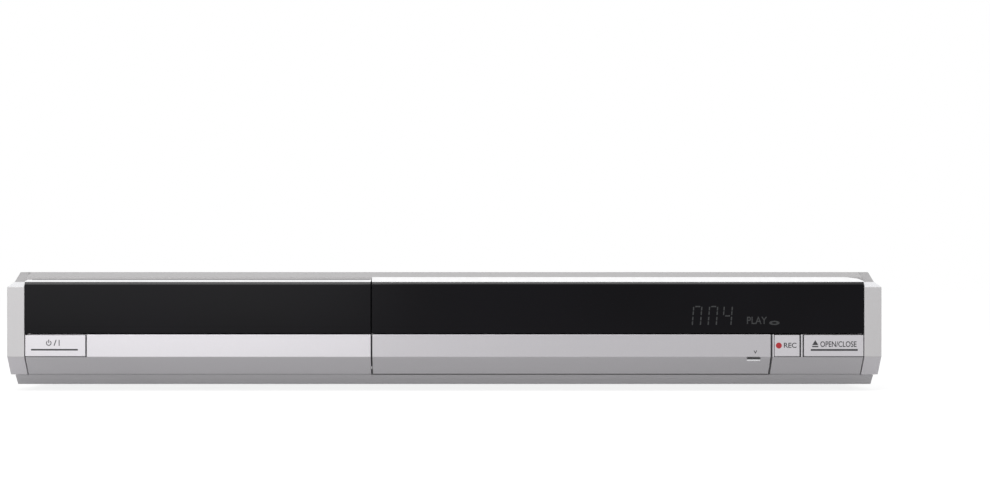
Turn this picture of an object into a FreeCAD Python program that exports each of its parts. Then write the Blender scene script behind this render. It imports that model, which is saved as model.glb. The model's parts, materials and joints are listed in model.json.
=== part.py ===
"""A disc recorder with a hard disk, 430 mm wide, for a shelf under a television.

Millimetres. X runs to the right seen from the front, Y to the back and Z up. The origin is at the
middle of the bottom of the overall box, where the feet stand.
"""
import FreeCAD, Part
import math
import os
import re
import Sketcher

from FreeCAD import Placement, Rotation, Vector

# Driving dimensions
SIZES = {
    # Whole case
    "overall_width": 430,
    "overall_depth": 338,
    "foot_height": 3.1,
    "strip_height": 5,
    "chin_height": 9.2,
    "band_height": 11.3,
    "window_height": 25.6,
    "trim_height": 2.4,
    "crown_height": 2.4,
    # How far each step of the front lies behind its face
    "chin_set": 11,
    "strip_set": 1.5,
    "strip_rake": 8.5,
    "trim_set": 3,
    "crown_depth": 14,
    "bezel_depth": 40,
    "window_bevel": 1.2,
    # End caps
    "cap_width": 8.6,
    "shoulder_height": 2.5,
    "shoulder_set": 4,
    "shoulder_lean": 3,
    "strip_inset": 2,
    # Walls and clearances
    "mould_wall": 2.2,
    "panel_gap": 0.5,
    "fit_gap": 0.3,
    "running_gap": 0.06,
    "tiny_gap": 0.02,
    "jack_clearance": 0.1,
    # How far a cut runs past the face that it opens
    "overcut": 1,
    # Front panels
    "fascia_width": 170.5,
    "fascia_wall": 3,
    "fascia_skirt": 4,
    "power_width": 30.2,
    "record_width": 14.2,
    "open_width": 29.8,
    "mullion_width": 1.6,
    "button_wall": 4.5,
    "button_travel": 0.8,
    "stem_width": 6,
    "stem_height": 5,
    "trim_taper": 9,
    "trim_bend": 3,
    "trim_bend_height": 1.7,
    "trim_end_height": 0.5,
    "tray_trim_drop": 0.6,
    # Flap door and the panel behind it
    "hinge_rise": 3.8,
    "hinge_back": 10.5,
    "pin_radius": 0.9,
    "boss_radius": 2.2,
    "boss_length": 6,
    "catch_width": 6.4,
    "catch_height": 1.2,
    "catch_from_end": 9,
    "catch_depth": 0.9,
    "panel_set": 19,
    "panel_wall": 2,
    "jack_rise": 16.4,
    "jack_gap": 15.5,
    "jack_first": 82,
    "phono_radius": 4.15,
    "phono_bore": 1.7,
    "phono_reach": 8,
    "collar_radius": 5.2,
    "collar_reach": 1.6,
    "ring_radius": 6,
    "svideo_radius": 5.5,
    "svideo_reach": 1.5,
    "svideo_wall": 1,
    "svideo_groove": 1,
    "svideo_depth": 5.5,
    "digital_width": 9,
    "digital_height": 6,
    "digital_slot_width": 5.6,
    "digital_slot_height": 2.8,
    "small_button_width": 10,
    "small_button_height": 5,
    "small_button_reach": 3,
    "small_button_first": 12,
    "small_button_gap": 14,
    "small_button_travel": 0.4,
    "small_stem_height": 2.5,
    "panel_low_rise": 3.3,
    # Front board, its switches and the display
    "board_thick": 1.6,
    "board_set": 26,
    "board_margin": 3,
    "switch_size": 6,
    "switch_depth": 3.7,
    "power_board_set": 14,
    "display_width": 104,
    "display_height": 21,
    "display_thick": 7,
    "display_set": 72.4,
    "display_rise": 37.5,
    # Metal case
    "chassis_sheet": 1,
    "cover_sheet": 0.8,
    "cover_inset": 3,
    "cover_drop": 0.4,
    "cover_lip": 9,
    "side_fold": 16,
    "front_fold": 4.5,
    "connector_reach": 8,
    "rear_fold": 12,
    "ledge_depth": 6,
    "screw_head_radius": 3.2,
    "screw_head_height": 1.6,
    "screw_radius": 1.4,
    "screw_length": 5,
    "screw_rise": 10,
    "screw_front": 60,
    "screw_back": 110,
    "screw_spread": 150,
    "vent_width": 3,
    "vent_length": 24,
    "vent_pitch": 7,
    "vent_count": 9,
    "vent_start": 20,
    "foot_radius": 11,
    "foot_peg_radius": 2.5,
    "foot_peg_length": 3,
    "foot_spread": 165,
    "front_foot_set": 112,
    "back_foot_set": 40,
    "standoff_radius": 3,
    # Disc drive
    "drive_width": 146,
    "drive_length": 186,
    "drive_set": 19.5,
    "drive_floor_gap": 4,
    "drive_floor": 2,
    "drive_wall": 2,
    "drive_wall_height": 38,
    "drive_front_wall": 22,
    "lid_sheet": 0.8,
    "lid_side": 12,
    "ledge_width": 10,
    "ledge_thick": 2,
    "guide_height": 1.7,
    "guide_width": 5.7,
    "bridge_width": 34,
    "bridge_thick": 1.6,
    "bridge_bore": 13,
    "clamper_flange": 16,
    "clamper_flange_thick": 1.3,
    "clamper_neck": 12.6,
    "clamper_recess": 8.2,
    "clamper_recess_depth": 2,
    # Disc tray
    "tray_width": 130,
    "tray_rise": 31.4,
    "tray_thick": 4.6,
    "tray_tail": 30,
    "tray_travel": 150,
    "tray_bar_depth": 5,
    "tray_bar_drop": 3,
    "tray_bar_rise": 2,
    "tray_bar_side": 4,
    "rail_width": 3,
    "rail_height": 2.4,
    "disc_back": 93,
    "disc_well": 60.6,
    "well_depth": 2.6,
    "small_well": 41,
    "small_well_depth": 0.9,
    "tray_slot_width": 40,
    "tray_slot_front": 18,
    "tray_slot_back": 66,
    "notch_radius": 8,
    "notch_set": 8,
    # Loading gears
    "gear_module": 1,
    "gear_teeth": 20,
    "pressure_angle": 20,
    "tooth_root": 1.25,
    "flank_steps": 4,
    "gear_thick": 2.4,
    "gear_offset": 42,
    "gear_set": 18,
    "tooth_play": 0.25,
    "rack_width": 3,
    "rack_spare_teeth": 4,
    "rack_lead_teeth": 1.5,
    "post_radius": 1.5,
    "post_shoulder": 4,
    "pulley_radius": 14,
    "pulley_thick": 3.4,
    "belt_side": 1.2,
    "motor_pulley_radius": 4,
    "motor_offset": 2,
    "motor_radius": 11,
    "motor_height": 16,
    # Lifting traverse
    "lift_travel": 6.5,
    "lift_slope": 2,
    "traverse_width": 76,
    "traverse_front": 22,
    "traverse_back": 86,
    "traverse_rise": 8.7,
    "traverse_plate": 2,
    "guide_post_radius": 2,
    "guide_post_side": 35,
    "guide_post_front": 18,
    "guide_post_back": 80,
    "cam_pin_radius": 1.5,
    "cam_pin_length": 7,
    "cam_pin_side": 20,
    "cam_play": 0.25,
    "slider_width": 78,
    "slider_thick": 4,
    "slider_height": 18,
    "slider_set": 4,
    "slider_rail": 3,
    "spindle_motor_radius": 13,
    "spindle_motor_height": 6.5,
    "turntable_radius": 15,
    "turntable_thick": 2.5,
    "turntable_rise": 11.9,
    "nose_radius": 7.4,
    "nose_height": 2,
    "spindle_shaft_radius": 1.5,
    "rod_radius": 1.5,
    "rod_side": 26,
    "rod_rise": 3,
    "lug_width": 8,
    "lug_depth": 4,
    "lug_height": 6.5,
    "sled_length": 22,
    "sled_width": 56,
    "sled_height": 6.4,
    "sled_travel": 34,
    "sled_front": 16,
    "lens_radius": 3,
    "lens_height": 3.4,
    "lens_from_front": 8,
    "screw_side": 33,
    "lead_radius": 1.5,
    "lead_end_radius": 0.75,
    "bearing_height": 8,
    "nut_width": 5,
    "nut_depth": 4,
    "nut_from_back": 2,
    "sled_motor_radius": 4.6,
    "sled_motor_length": 12,
    "bearing_depth": 3,
    # Hard disk
    "disk_width": 101.6,
    "disk_length": 146,
    "disk_height": 25.4,
    "disk_base": 20,
    "disk_gap": 20.15,
    "disk_front": 74,
    "disk_lift": 8,
    "bracket_sheet": 1.2,
    "bracket_ear": 14,
    "bracket_foot": 12,
    "drive_foot": 12,
    "drive_foot_set": 12,
    # Boards and what they carry
    "board_lift": 8,
    "main_board_left": 5,
    "main_board_gap": 10,
    "main_board_notch": 20,
    "main_board_tongue": 7,
    "main_board_spare": 6,
    "rear_gap": 3,
    "supply_gap": 18.4,
    "supply_right": 5,
    "supply_length": 200,
    "chip_row_set": 18,
    "chip_thick": 3,
    "chip_size": 28,
    "chip_first": 40,
    "chip_pitch": 55,
    "chip_count": 2,
    "small_chip_size": 16,
    "small_chip_first": 135,
    "small_chip_pitch": 30,
    "small_chip_count": 2,
    "capacitor_set": 18,
    "capacitor_radius": 9,
    "capacitor_height": 30,
    "capacitor_pitch": 27,
    "capacitor_count": 2,
    "small_capacitor_set": 45,
    "small_capacitor_radius": 5,
    "small_capacitor_height": 16,
    "small_capacitor_pitch": 15,
    "small_capacitor_count": 5,
    "transformer_shift": 9,
    "transformer_set": 45,
    "transformer_width": 34,
    "transformer_depth": 38,
    "transformer_height": 30,
    "core_inset": 7,
    "coil_inset": 3.5,
    "sink_width": 44,
    "sink_height": 32,
    "sink_back": 3,
    "sink_gap": 9,
    "sink_pitch": 36,
    "sink_count": 2,
    "fin_thick": 1.5,
    "fin_depth": 9,
    "fin_pitch": 5,
    "fin_count": 8,
    "tuner_set": 42,
    "tuner_width": 40,
    "tuner_depth": 60,
    "tuner_height": 32,
    "aerial_radius": 4.6,
    "aerial_bore": 1.8,
    "aerial_low": 8,
    "aerial_high": 24,
    # Fan
    "fan_set": 57,
    "fan_size": 50,
    "fan_depth": 15,
    "fan_lift": 2.4,
    "fan_bore": 23.5,
    "fan_blade_radius": 22.5,
    "fan_hub_radius": 11,
    "fan_hub_depth": 11,
    "fan_blade_depth": 9,
    "fan_spindle": 7.5,
    "fan_blades": 7,
    "fan_blade_thick": 1.4,
    "fan_pitch_angle": 40,
    "spoke_width": 3,
    "spoke_thick": 2,
    "grille_width": 3,
    "grille_pitch": 6,
    "grille_count": 8,
    "grille_height": 38,
    # Rear sockets
    "socket_depth": 14,
    "socket_gap": 0.2,
    "scart_width": 47,
    "scart_height": 15,
    "scart_set": 33.2,
    "scart_pitch": 54,
    "scart_count": 2,
    "scart_depth": 7,
    "scart_rise": 22,
    "scart_wall": 1,
    "scart_groove": 1.6,
    "scart_flange": 2,
    "scart_slots": 10,
    "scart_slot_pitch": 3.8,
    "scart_slot_width": 1.2,
    "scart_slot_height": 3.6,
    "scart_slot_depth": 6.7,
    "scart_row_rise": 2.52,
    "phono_set": 34,
    "phono_pitch": 15,
    "phono_columns": 3,
    "socket_foot_width": 6,
    "phono_low": 16.5,
    "phono_high": 36,
    "digital_set": 18,
    "hdmi_rise": 14,
    "hdmi_width": 15,
    "hdmi_height": 6,
    "hdmi_wall": 0.7,
    "hdmi_depth": 7,
    "hdmi_tongue_width": 10.8,
    "hdmi_tongue_thick": 1.4,
    "hdmi_tongue_set": 2,
    "optical_rise": 24,
    "optical_size": 9,
    "optical_wall": 1,
    "optical_depth": 2,
    "rear_svideo_rise": 38,
    "rear_svideo_reach": 5,
    "inlet_set": 29.2,
    "inlet_rise": 22,
    "inlet_width": 24,
    "inlet_height": 16,
    "inlet_depth": 22,
    "inlet_wall": 2.2,
    "inlet_cavity": 14,
    "inlet_pin_radius": 1.2,
    "inlet_pin_spread": 4.3,
    "inlet_pin_length": 10,
    "inlet_pin_root": 1,
    "inlet_foot_width": 12,
    # Internal cables
    "cable_thick": 0.6,
    "front_cable_width": 8,
    "disk_cable_width": 40,
    "drive_cable_width": 50,
    "plug_height": 6,
    "plug_depth": 5,
    "disk_cable_set": 25.4,
    "front_cable_gap": 3.6,
    "cable_rise": 10,
}

# Places worked out from the sizes
PLACES = {
    "half_width": "overall_width / 2",
    "front_y": "-overall_depth / 2",
    "back_y": "overall_depth / 2",
    "base_z": "foot_height",
    "chin_z": "base_z + strip_height",
    "band_z": "chin_z + chin_height",
    "window_z": "band_z + band_height",
    "trim_z": "window_z + window_height",
    "crown_z": "trim_z + trim_height",
    "top_z": "crown_z + crown_height",
    "chin_y": "front_y + chin_set",
    "strip_y": "chin_y + strip_set",
    "strip_back_y": "strip_y + strip_rake",
    "trim_y": "front_y + trim_set",
    "crown_y": "trim_y + crown_depth",
    "bezel_y": "front_y + bezel_depth",
    "cap_x": "half_width - cap_width",
    "split_x": "-cap_x + fascia_width",
    "power_x": "-cap_x + power_width",
    "open_x": "cap_x - open_width",
    "mullion_x": "open_x - mullion_width",
    "flap_x": "mullion_x - record_width",
    "side_x": "half_width - cover_inset",
    "inner_x": "side_x - cover_sheet",
    "cover_z": "top_z - cover_drop",
    "floor_z": "base_z + chassis_sheet",
    "rear_y": "back_y - connector_reach",
    "wall_y": "rear_y - chassis_sheet",
    "hinge_y": "front_y + hinge_back",
    "hinge_z": "chin_z + hinge_rise",
    "panel_y": "front_y + panel_set",
    "board_y": "front_y + board_set",
    "button_low": "band_z + panel_gap / 2",
    "button_high": "window_z - panel_gap / 2",
    "button_z": "(band_z + window_z) / 2",
    "small_button_z": "base_z + jack_rise",
    "fascia_back": "front_y + fascia_wall",
    # Disc drive, about the middle of the tray's fascia
    "drive_x": "(split_x - cap_x) / 2",
    "drive_y": "front_y + drive_set",
    "drive_end": "drive_y + drive_length",
    "drive_z": "floor_z + drive_floor_gap",
    "drive_floor_z": "drive_z + drive_floor",
    "drive_top": "drive_z + drive_wall_height",
    "drive_in": "drive_width / 2 - drive_wall",
    "tray_z": "floor_z + tray_rise",
    "tray_top": "tray_z + tray_thick",
    "rail_z": "tray_z - rail_height",
    "ledge_z": "rail_z - fit_gap",
    "disc_y": "front_y + disc_back",
    "bridge_z": "tray_top + fit_gap + guide_height",
    "gear_y": "drive_y + gear_set",
    "gear_x": "drive_x - gear_offset",
    "gear_radius": "gear_module * gear_teeth / 2",
    "gear_top": "tray_z - fit_gap",
    "pulley_top": "gear_top - gear_thick - fit_gap",
    "rack_x": "gear_x - gear_radius",
    "gear_pitch": "pi * gear_module",
    "rack_teeth": "floor(tray_travel / gear_pitch) + rack_spare_teeth",
    "rack_y": "gear_y - rack_lead_teeth * gear_pitch",
    "motor_x": "drive_x + motor_offset",
    "traverse_z": "drive_floor_z + traverse_rise",
    "deck_z": "traverse_z + traverse_plate",
    "rod_z": "deck_z + rod_rise",
    "cam_z": "traverse_z + traverse_plate / 2",
    "slider_y": "disc_y - traverse_front - slider_set",
    "turntable_z": "deck_z + turntable_rise",
    "sled_y": "disc_y + sled_front",
    "lead_x": "drive_x + screw_side",
    "lead_z": "rod_z",
    "rod_start": "sled_y - fit_gap - lug_depth",
    "rod_end": "sled_y + sled_length + sled_travel + fit_gap",
    "lead_start": "sled_y - nut_from_back + sled_length - nut_depth - fit_gap",
    "lead_end": "lead_start + nut_depth + sled_travel + 2 * fit_gap",
    "disk_x": "drive_x + drive_width / 2 + disk_gap",
    "disk_y": "front_y + disk_front",
    "disk_z": "floor_z + disk_lift",
    "pcb_z": "floor_z + board_lift",
    "pcb_top": "pcb_z + board_thick",
    "pcb_y": "wall_y - rear_gap",
    "supply_x": "disk_x + disk_width + supply_gap",
    "supply_y": "pcb_y - supply_length",
    "main_y": "disk_y + disk_length + main_board_gap",
    "main_left": "-inner_x + main_board_left",
    "main_right": "supply_x - main_board_spare",
    "scart_x": "-inner_x + scart_set",
    "phono_x": "scart_x + (scart_count - 1) * scart_pitch + phono_set",
    "digital_x": "phono_x + (phono_columns - 1) * phono_pitch + digital_set",
    "tuner_x": "digital_x + tuner_set",
    "tongue_x": "tuner_x + tuner_width / 2 + main_board_tongue",
    "fan_x": "tuner_x + fan_set",
    "fan_z": "base_z + fan_lift + fan_size / 2",
    "fan_y": "wall_y - fan_depth",
    "inlet_x": "inner_x - inlet_set",
    "inlet_z": "floor_z + inlet_rise",
    "scart_z": "floor_z + scart_rise",
    "socket_y": "wall_y - socket_depth",
    "flange_y": "rear_y + scart_flange",
}

document = FreeCAD.newDocument("disc_recorder")
size_sheet = document.addObject("Spreadsheet::Sheet", "Sizes")
place_sheet = document.addObject("Spreadsheet::Sheet", "Places")
pieces = []


def link(formula):
    """The formula with each size and place pointed at its sheet."""

    def pointed(match):
        word = match.group(0)
        if word in SIZES:
            return "Sizes." + word
        if word in PLACES:
            return "Places." + word
        return word

    return re.sub(r"[a-z][a-z0-9_]*", pointed, str(formula))


def fill_sheets():
    for row, (name, number) in enumerate(SIZES.items(), 1):
        size_sheet.set(f"A{row}", name)
        size_sheet.set(f"B{row}", str(number))
        size_sheet.setAlias(f"B{row}", name)
    for row, (name, formula) in enumerate(PLACES.items(), 1):
        place_sheet.set(f"A{row}", name)
        place_sheet.set(f"B{row}", "=" + link(formula).replace("Places.", ""))
        place_sheet.setAlias(f"B{row}", name)
    document.recompute()


def value(formula):
    """The formula's number, for the shapes that are worked out point by point."""
    return float(place_sheet.evalExpression(link(formula)))


def bind(thing, formulas):
    for name, formula in formulas.items():
        thing.setExpression(name, link(formula))


def minus(formula):
    return f"-({formula})"


def span(centre, width):
    return (f"{centre} - ({width}) / 2", f"{centre} + ({width}) / 2")


def from_low(low, length):
    return (low, f"{low} + ({length})")


def to_high(high, length):
    return (f"{high} - ({length})", high)


def past(low, high):
    """A range for a cut that opens both faces."""
    return (f"{low} - overcut", f"{high} + overcut")


def towards(out, start, end):
    """A range from start to end, where end lies on the side of out, -1 or 1."""
    return (start, end) if out > 0 else (end, start)


def within(ends, margin):
    """A range drawn in by a margin at both ends."""
    return (f"{ends[0]} + {margin}", f"{ends[1]} - {margin}")


def count(name):
    return int(value(name))


# How a length along each axis is laid, for round pieces and for sketches
TURNS = {
    "X": Rotation(Vector(0, 1, 0), 90),
    "Y": Rotation(Vector(1, 0, 0), -90),
    "Z": Rotation(),
}
PLANES = {"X": "YZ_Plane", "Y": "XZ_Plane", "Z": "XY_Plane"}

# How a sketch's constraints name the origin and the two ends of a line
ORIGIN, LINE_START, LINE_END = -1, 1, 2


def plain_body(name):
    piece = document.addObject("PartDesign::Body", name)
    piece.Label = name
    return piece


def body(name):
    """A body that is a sub-part by itself."""
    piece = plain_body(name)
    pieces.append(piece)
    return piece


def place_box(box, x, y, z):
    bind(box, {
        "Length": f"({x[1]}) - ({x[0]})",
        "Width": f"({y[1]}) - ({y[0]})",
        "Height": f"({z[1]}) - ({z[0]})",
        "Placement.Base.x": x[0],
        "Placement.Base.y": y[0],
        "Placement.Base.z": z[0],
    })
    return box


def place_round(cylinder, axis, centre, radius, ends):
    """A cylinder along an axis; centre holds its place on the other two, in order."""
    cylinder.Placement = Placement(Vector(), TURNS[axis])
    bases = dict(zip([letter for letter in "XYZ" if letter != axis], centre))
    bases[axis] = ends[0]
    bind(cylinder, {
        "Radius": radius,
        "Height": f"({ends[1]}) - ({ends[0]})",
        "Placement.Base.x": bases["X"],
        "Placement.Base.y": bases["Y"],
        "Placement.Base.z": bases["Z"],
    })
    return cylinder


def block(piece, x, y, z):
    return place_box(piece.newObject("PartDesign::AdditiveBox", "Block"), x, y, z)


def recess(piece, x, y, z):
    return place_box(piece.newObject("PartDesign::SubtractiveBox", "Recess"), x, y, z)


def rod(piece, axis, centre, radius, ends):
    thing = piece.newObject("PartDesign::AdditiveCylinder", "Rod")
    return place_round(thing, axis, centre, radius, ends)


def bore(piece, axis, centre, radius, ends):
    thing = piece.newObject("PartDesign::SubtractiveCylinder", "Bore")
    return place_round(thing, axis, centre, radius, ends)


def sketch(piece, axis, outline, level):
    """A closed outline square to an axis, its points held by formulas from the origin."""
    drawing = piece.newObject("Sketcher::SketchObject", "Outline")
    roles = {feature.Role: feature for feature in piece.Origin.OriginFeatures}
    drawing.AttachmentSupport = (roles[PLANES[axis]], [""])
    drawing.MapMode = "FlatFace"
    corners = len(outline)
    guess = [Vector(value(across), value(up), 0) for across, up in outline]
    for index in range(corners):
        line = Part.LineSegment(guess[index], guess[(index + 1) % corners])
        drawing.addGeometry(line, False)
    for index in range(corners):
        joint = Sketcher.Constraint("Coincident", index, LINE_END, (index + 1) % corners, LINE_START)
        drawing.addConstraint(joint)
    for index, point in enumerate(outline):
        for kind, formula, place in zip(("DistanceX", "DistanceY"), point, guess[index]):
            rule = Sketcher.Constraint(kind, ORIGIN, LINE_START, index, LINE_START, place)
            number = drawing.addConstraint(rule)
            drawing.setExpression(f"Constraints[{number}]", link(formula))
    drawing.setExpression("AttachmentOffset.Base.z", link(level))
    return drawing


def extrude(piece, kind, axis, outline, ends):
    level = minus(ends[1]) if axis == "Y" else ends[0]
    drawing = sketch(piece, axis, outline, level)
    feature = piece.newObject(f"PartDesign::{kind}", kind)
    feature.Profile = drawing
    feature.Reversed = kind == "Pocket"
    bind(feature, {"Length": f"({ends[1]}) - ({ends[0]})"})
    return feature


def prism(piece, axis, outline, ends):
    return extrude(piece, "Pad", axis, outline, ends)


def cutout(piece, axis, outline, ends):
    return extrude(piece, "Pocket", axis, outline, ends)


def row(piece, feature, axis, pitch, copies):
    """The last feature repeated along an axis."""
    pattern = piece.newObject("PartDesign::LinearPattern", "Row")
    roles = {part.Role: part for part in piece.Origin.OriginFeatures}
    pattern.Originals = [feature]
    pattern.Direction = (roles[axis + "_Axis"], [""])
    bind(pattern, {"Length": f"({pitch}) * (({copies}) - 1)", "Occurrences": copies})
    piece.Tip = pattern
    return pattern


def box(x, y, z):
    return place_box(document.addObject("Part::Box", "Solid"), x, y, z)


def round_bar(axis, centre, radius, ends):
    return place_round(document.addObject("Part::Cylinder", "Round"), axis, centre, radius, ends)


def fused(*things):
    whole = document.addObject("Part::MultiFuse", "Fused")
    whole.Shapes = list(things)
    return whole


def less(base, *tools):
    """The base with each tool taken away."""
    rest = document.addObject("Part::Cut", "Rest")
    rest.Base = base
    rest.Tool = tools[0] if len(tools) == 1 else fused(*tools)
    return rest


def group(name, things):
    """Separate solids that share a node."""
    whole = document.addObject("Part::Compound", name)
    whole.Label = name
    whole.Links = things
    pieces.append(whole)
    return whole


def shape(name, solid):
    """A sub-part whose solid is worked out from the sizes in code."""
    piece = document.addObject("Part::Feature", name)
    piece.Label = name
    piece.Shape = solid
    piece.Placement = Placement()
    pieces.append(piece)
    return piece


SIDES = (-1, 1)
ALL_X = ("-half_width", "half_width")


def make_front_bezel():
    """Silver moulding: base strip, chin and band at the left, shelf, ribs, side walls and crown."""
    piece = body("front_bezel")
    left = "-cap_x + fit_gap"
    right = "cap_x - fit_gap"
    strip_end = "half_width - strip_inset"
    behind_button = "front_y + button_wall + button_travel + panel_gap"
    band_top = "window_z - panel_gap / 2"
    split = "split_x - panel_gap / 2"
    door_end = "flap_x + panel_gap / 2"
    # Base strip, with its lip behind the chin
    prism(piece, "X", [
        ("strip_back_y", "base_z"),
        ("strip_y", "chin_z"),
        ("strip_y + mould_wall", "chin_z"),
        ("strip_back_y + mould_wall", "base_z + mould_wall / 2"),
        ("strip_back_y + mould_wall", "base_z"),
    ], (minus(strip_end), strip_end))
    # Chin and band at the left of the split, one wall thick
    chin = [
        ("strip_y", "chin_z"),
        ("chin_y", "chin_z"),
        ("front_y", "band_z"),
        ("front_y + mould_wall", "band_z"),
        ("chin_y + mould_wall", "chin_z + mould_wall"),
        ("strip_y + mould_wall", "chin_z + mould_wall"),
        ("strip_y + mould_wall", "chin_z"),
    ]
    prism(piece, "X", chin, (left, split))
    prism(piece, "X", chin, (door_end, right))
    block(piece, ("power_x + panel_gap / 2", split), from_low("front_y", "mould_wall"),
          ("band_z", band_top))
    # Mullion between the record and the open buttons
    block(piece, ("mullion_x + panel_gap / 2", "open_x - panel_gap / 2"),
          ("front_y", "panel_y"), ("band_z", band_top))
    # Shelf behind the band, under the fascia and the window
    block(piece, (left, right), (behind_button, "panel_y"),
          (f"{band_top} - panel_gap / 2 - mould_wall / 2", band_top))
    block(piece, ("power_x + panel_gap / 2", split), ("front_y", "panel_y"),
          to_high(band_top, "mould_wall / 2"))
    # Ribs at the ends of the flap door's opening
    for ends in (to_high(split, "mould_wall"), from_low(door_end, "mould_wall / 2")):
        prism(piece, "X", [
            ("strip_y", "chin_z"),
            ("chin_y", "chin_z"),
            ("front_y", "band_z"),
            ("front_y", band_top),
            ("panel_y", band_top),
            ("panel_y", "chin_z"),
        ], ends)
    # Side walls inside the end caps, back walls and the floor that joins the strip to them
    above_fold = "base_z + front_fold + fit_gap"
    for low, behind_panel in ((left, "fascia_back + fascia_skirt + fit_gap"),
                              (f"{right} - mould_wall", "fascia_back + fit_gap")):
        prism(piece, "X", [
            ("strip_y", "chin_z"),
            ("chin_y", "chin_z"),
            (behind_button, "band_z"),
            (behind_button, "window_z"),
            (behind_panel, "window_z"),
            (behind_panel, "trim_z + fit_gap"),
            ("crown_y", "top_z - mould_wall"),
            ("bezel_y", "top_z - mould_wall"),
            ("bezel_y", above_fold),
            ("strip_back_y", above_fold),
        ], from_low(low, "mould_wall"))
    # Post behind the split between fascia and window
    block(piece, span("split_x", "2 * mould_wall"), ("fascia_back + fascia_skirt + fit_gap", "panel_y"),
          ("window_z - panel_gap", "crown_z - mould_wall / 2"))
    # Crown over the trims, and the ledge that the top cover lies on
    prism(piece, "X", [
        ("trim_y + fit_gap", "crown_z - mould_wall"),
        ("trim_y + fit_gap", "crown_z"),
        ("crown_y", "top_z"),
        ("bezel_y", "top_z"),
        ("bezel_y", "cover_z - cover_sheet - fit_gap / 2"),
        ("bezel_y + ledge_depth", "cover_z - cover_sheet - fit_gap / 2"),
        ("bezel_y + ledge_depth", "top_z - mould_wall"),
        ("crown_y", "top_z - mould_wall"),
    ], (left, right))


def make_end_cap(name, side):
    """A hollow end cap: the left one for side -1, the right one for side 1."""
    piece = body(name)
    inner, outer = "cap_x + fit_gap / 2", "half_width"
    ends = (inner, outer) if side > 0 else (minus(outer), minus(inner))
    prism(piece, "X", [
        ("strip_y", "chin_z + fit_gap / 2"),
        ("chin_y", "chin_z + fit_gap / 2"),
        ("front_y", "band_z"),
        ("front_y", "trim_z - shoulder_height"),
        ("front_y + shoulder_set", "trim_z"),
        ("crown_y", "top_z"),
        ("bezel_y", "top_z"),
        ("bezel_y", "chin_z + fit_gap / 2"),
    ], ends)
    # The upper outer edge leans in
    cutout(piece, "Y", [
        (f"{side} * half_width", "trim_z - shoulder_height"),
        (f"{side} * (half_width - shoulder_lean)", "trim_z"),
        (f"{side} * (half_width - shoulder_lean - overcut)", "top_z + overcut"),
        (f"{side} * (half_width + overcut)", "top_z + overcut"),
        (f"{side} * (half_width + overcut)", "trim_z - shoulder_height"),
    ], past("front_y", "bezel_y"))
    low, high = "cap_x", "half_width - shoulder_lean - mould_wall"
    recess(piece, (low, high) if side > 0 else (minus(high), minus(low)),
           ("strip_y + mould_wall", "bezel_y - mould_wall"),
           ("band_z", "trim_z - mould_wall"))


def make_window():
    """Black display window with its bevelled upper edge, on two pegs."""
    piece = body("display_window")
    ends = ("split_x + panel_gap / 2", "cap_x")
    prism(piece, "X", [
        ("front_y", "window_z + panel_gap / 2"),
        ("front_y", "trim_z - window_bevel"),
        ("front_y + window_bevel / 2", "trim_z"),
        ("fascia_back", "trim_z"),
        ("fascia_back", "window_z + panel_gap / 2"),
    ], ends)
    for x in ("split_x + ledge_width", "cap_x - ledge_width"):
        rod(piece, "Y", (x, "window_z + mould_wall"), "mould_wall / 2", ("fascia_back", "panel_y"))
    trim("window_trim", ends, "crown_z", 1)


def trim(name, ends, high, taper_side):
    """Silver strip over a black panel. It runs out to a point at the end cap."""
    piece = body(name)
    prism(piece, "X", [
        ("front_y + window_bevel / 2", "trim_z"),
        ("trim_y", high),
        ("trim_y", "trim_z"),
    ], ends)
    end = ends[1] if taper_side > 0 else ends[0]
    cutout(piece, "Y", [
        (f"{end} - {taper_side} * trim_taper", high),
        (f"{end} - {taper_side} * trim_bend", "trim_z + trim_bend_height"),
        (end, "trim_z + trim_end_height"),
        (f"{end} + {taper_side} * overcut", "trim_z + trim_end_height"),
        (f"{end} + {taper_side} * overcut", f"{high} + overcut"),
        (f"{end} - {taper_side} * trim_taper", f"{high} + overcut"),
    ], past("front_y", "trim_y"))


def make_tray_fascia():
    """Black cover on the front end of the disc tray, hollow at the back."""
    piece = body("tray_fascia")
    ends = ("-cap_x", "split_x - panel_gap / 2")
    prism(piece, "X", [
        ("front_y", "window_z + panel_gap / 2"),
        ("front_y", "trim_z - window_bevel"),
        ("front_y + window_bevel / 2", "trim_z"),
        ("fascia_back + fascia_skirt", "trim_z"),
        ("fascia_back + fascia_skirt", "window_z + panel_gap / 2"),
    ], ends)
    recess(piece, ("-cap_x + mould_wall", "split_x - mould_wall"),
           ("fascia_back", "fascia_back + fascia_skirt + overcut"),
           ("window_z + mould_wall", "trim_z - mould_wall"))
    trim("tray_trim", ends, "crown_z - tray_trim_drop", -1)


def button(name, x, travel_end):
    """A front button: a hollow cap and the stem that presses its switch."""
    piece = body(name)
    block(piece, x, from_low("front_y", "button_wall"), ("button_low", "button_high - fit_gap"))
    middle = f"(({x[0]}) + ({x[1]})) / 2"
    block(piece, span(middle, "stem_width"), ("front_y", travel_end), span("button_z", "stem_height"))
    return piece


def make_front_buttons():
    gap = "panel_gap / 2"
    switch_face = "board_y - switch_depth - fit_gap - button_travel"
    power_face = "front_y + power_board_set - switch_depth - fit_gap - button_travel"
    button("power_button", (f"-cap_x + {gap}", f"power_x - {gap}"), power_face)
    button("record_button", ("flap_x + mould_wall / 2 + panel_gap", f"mullion_x - {gap}"), switch_face)
    button("open_close_button", (f"open_x + {gap}", f"cap_x - {gap}"), switch_face)


SMALL_BUTTONS = ["drive_select_button", "channel_down_button", "channel_up_button",
                 "stop_button", "play_button"]


def small_button_x(index):
    return f"split_x + small_button_first + {index} * small_button_gap"


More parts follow.
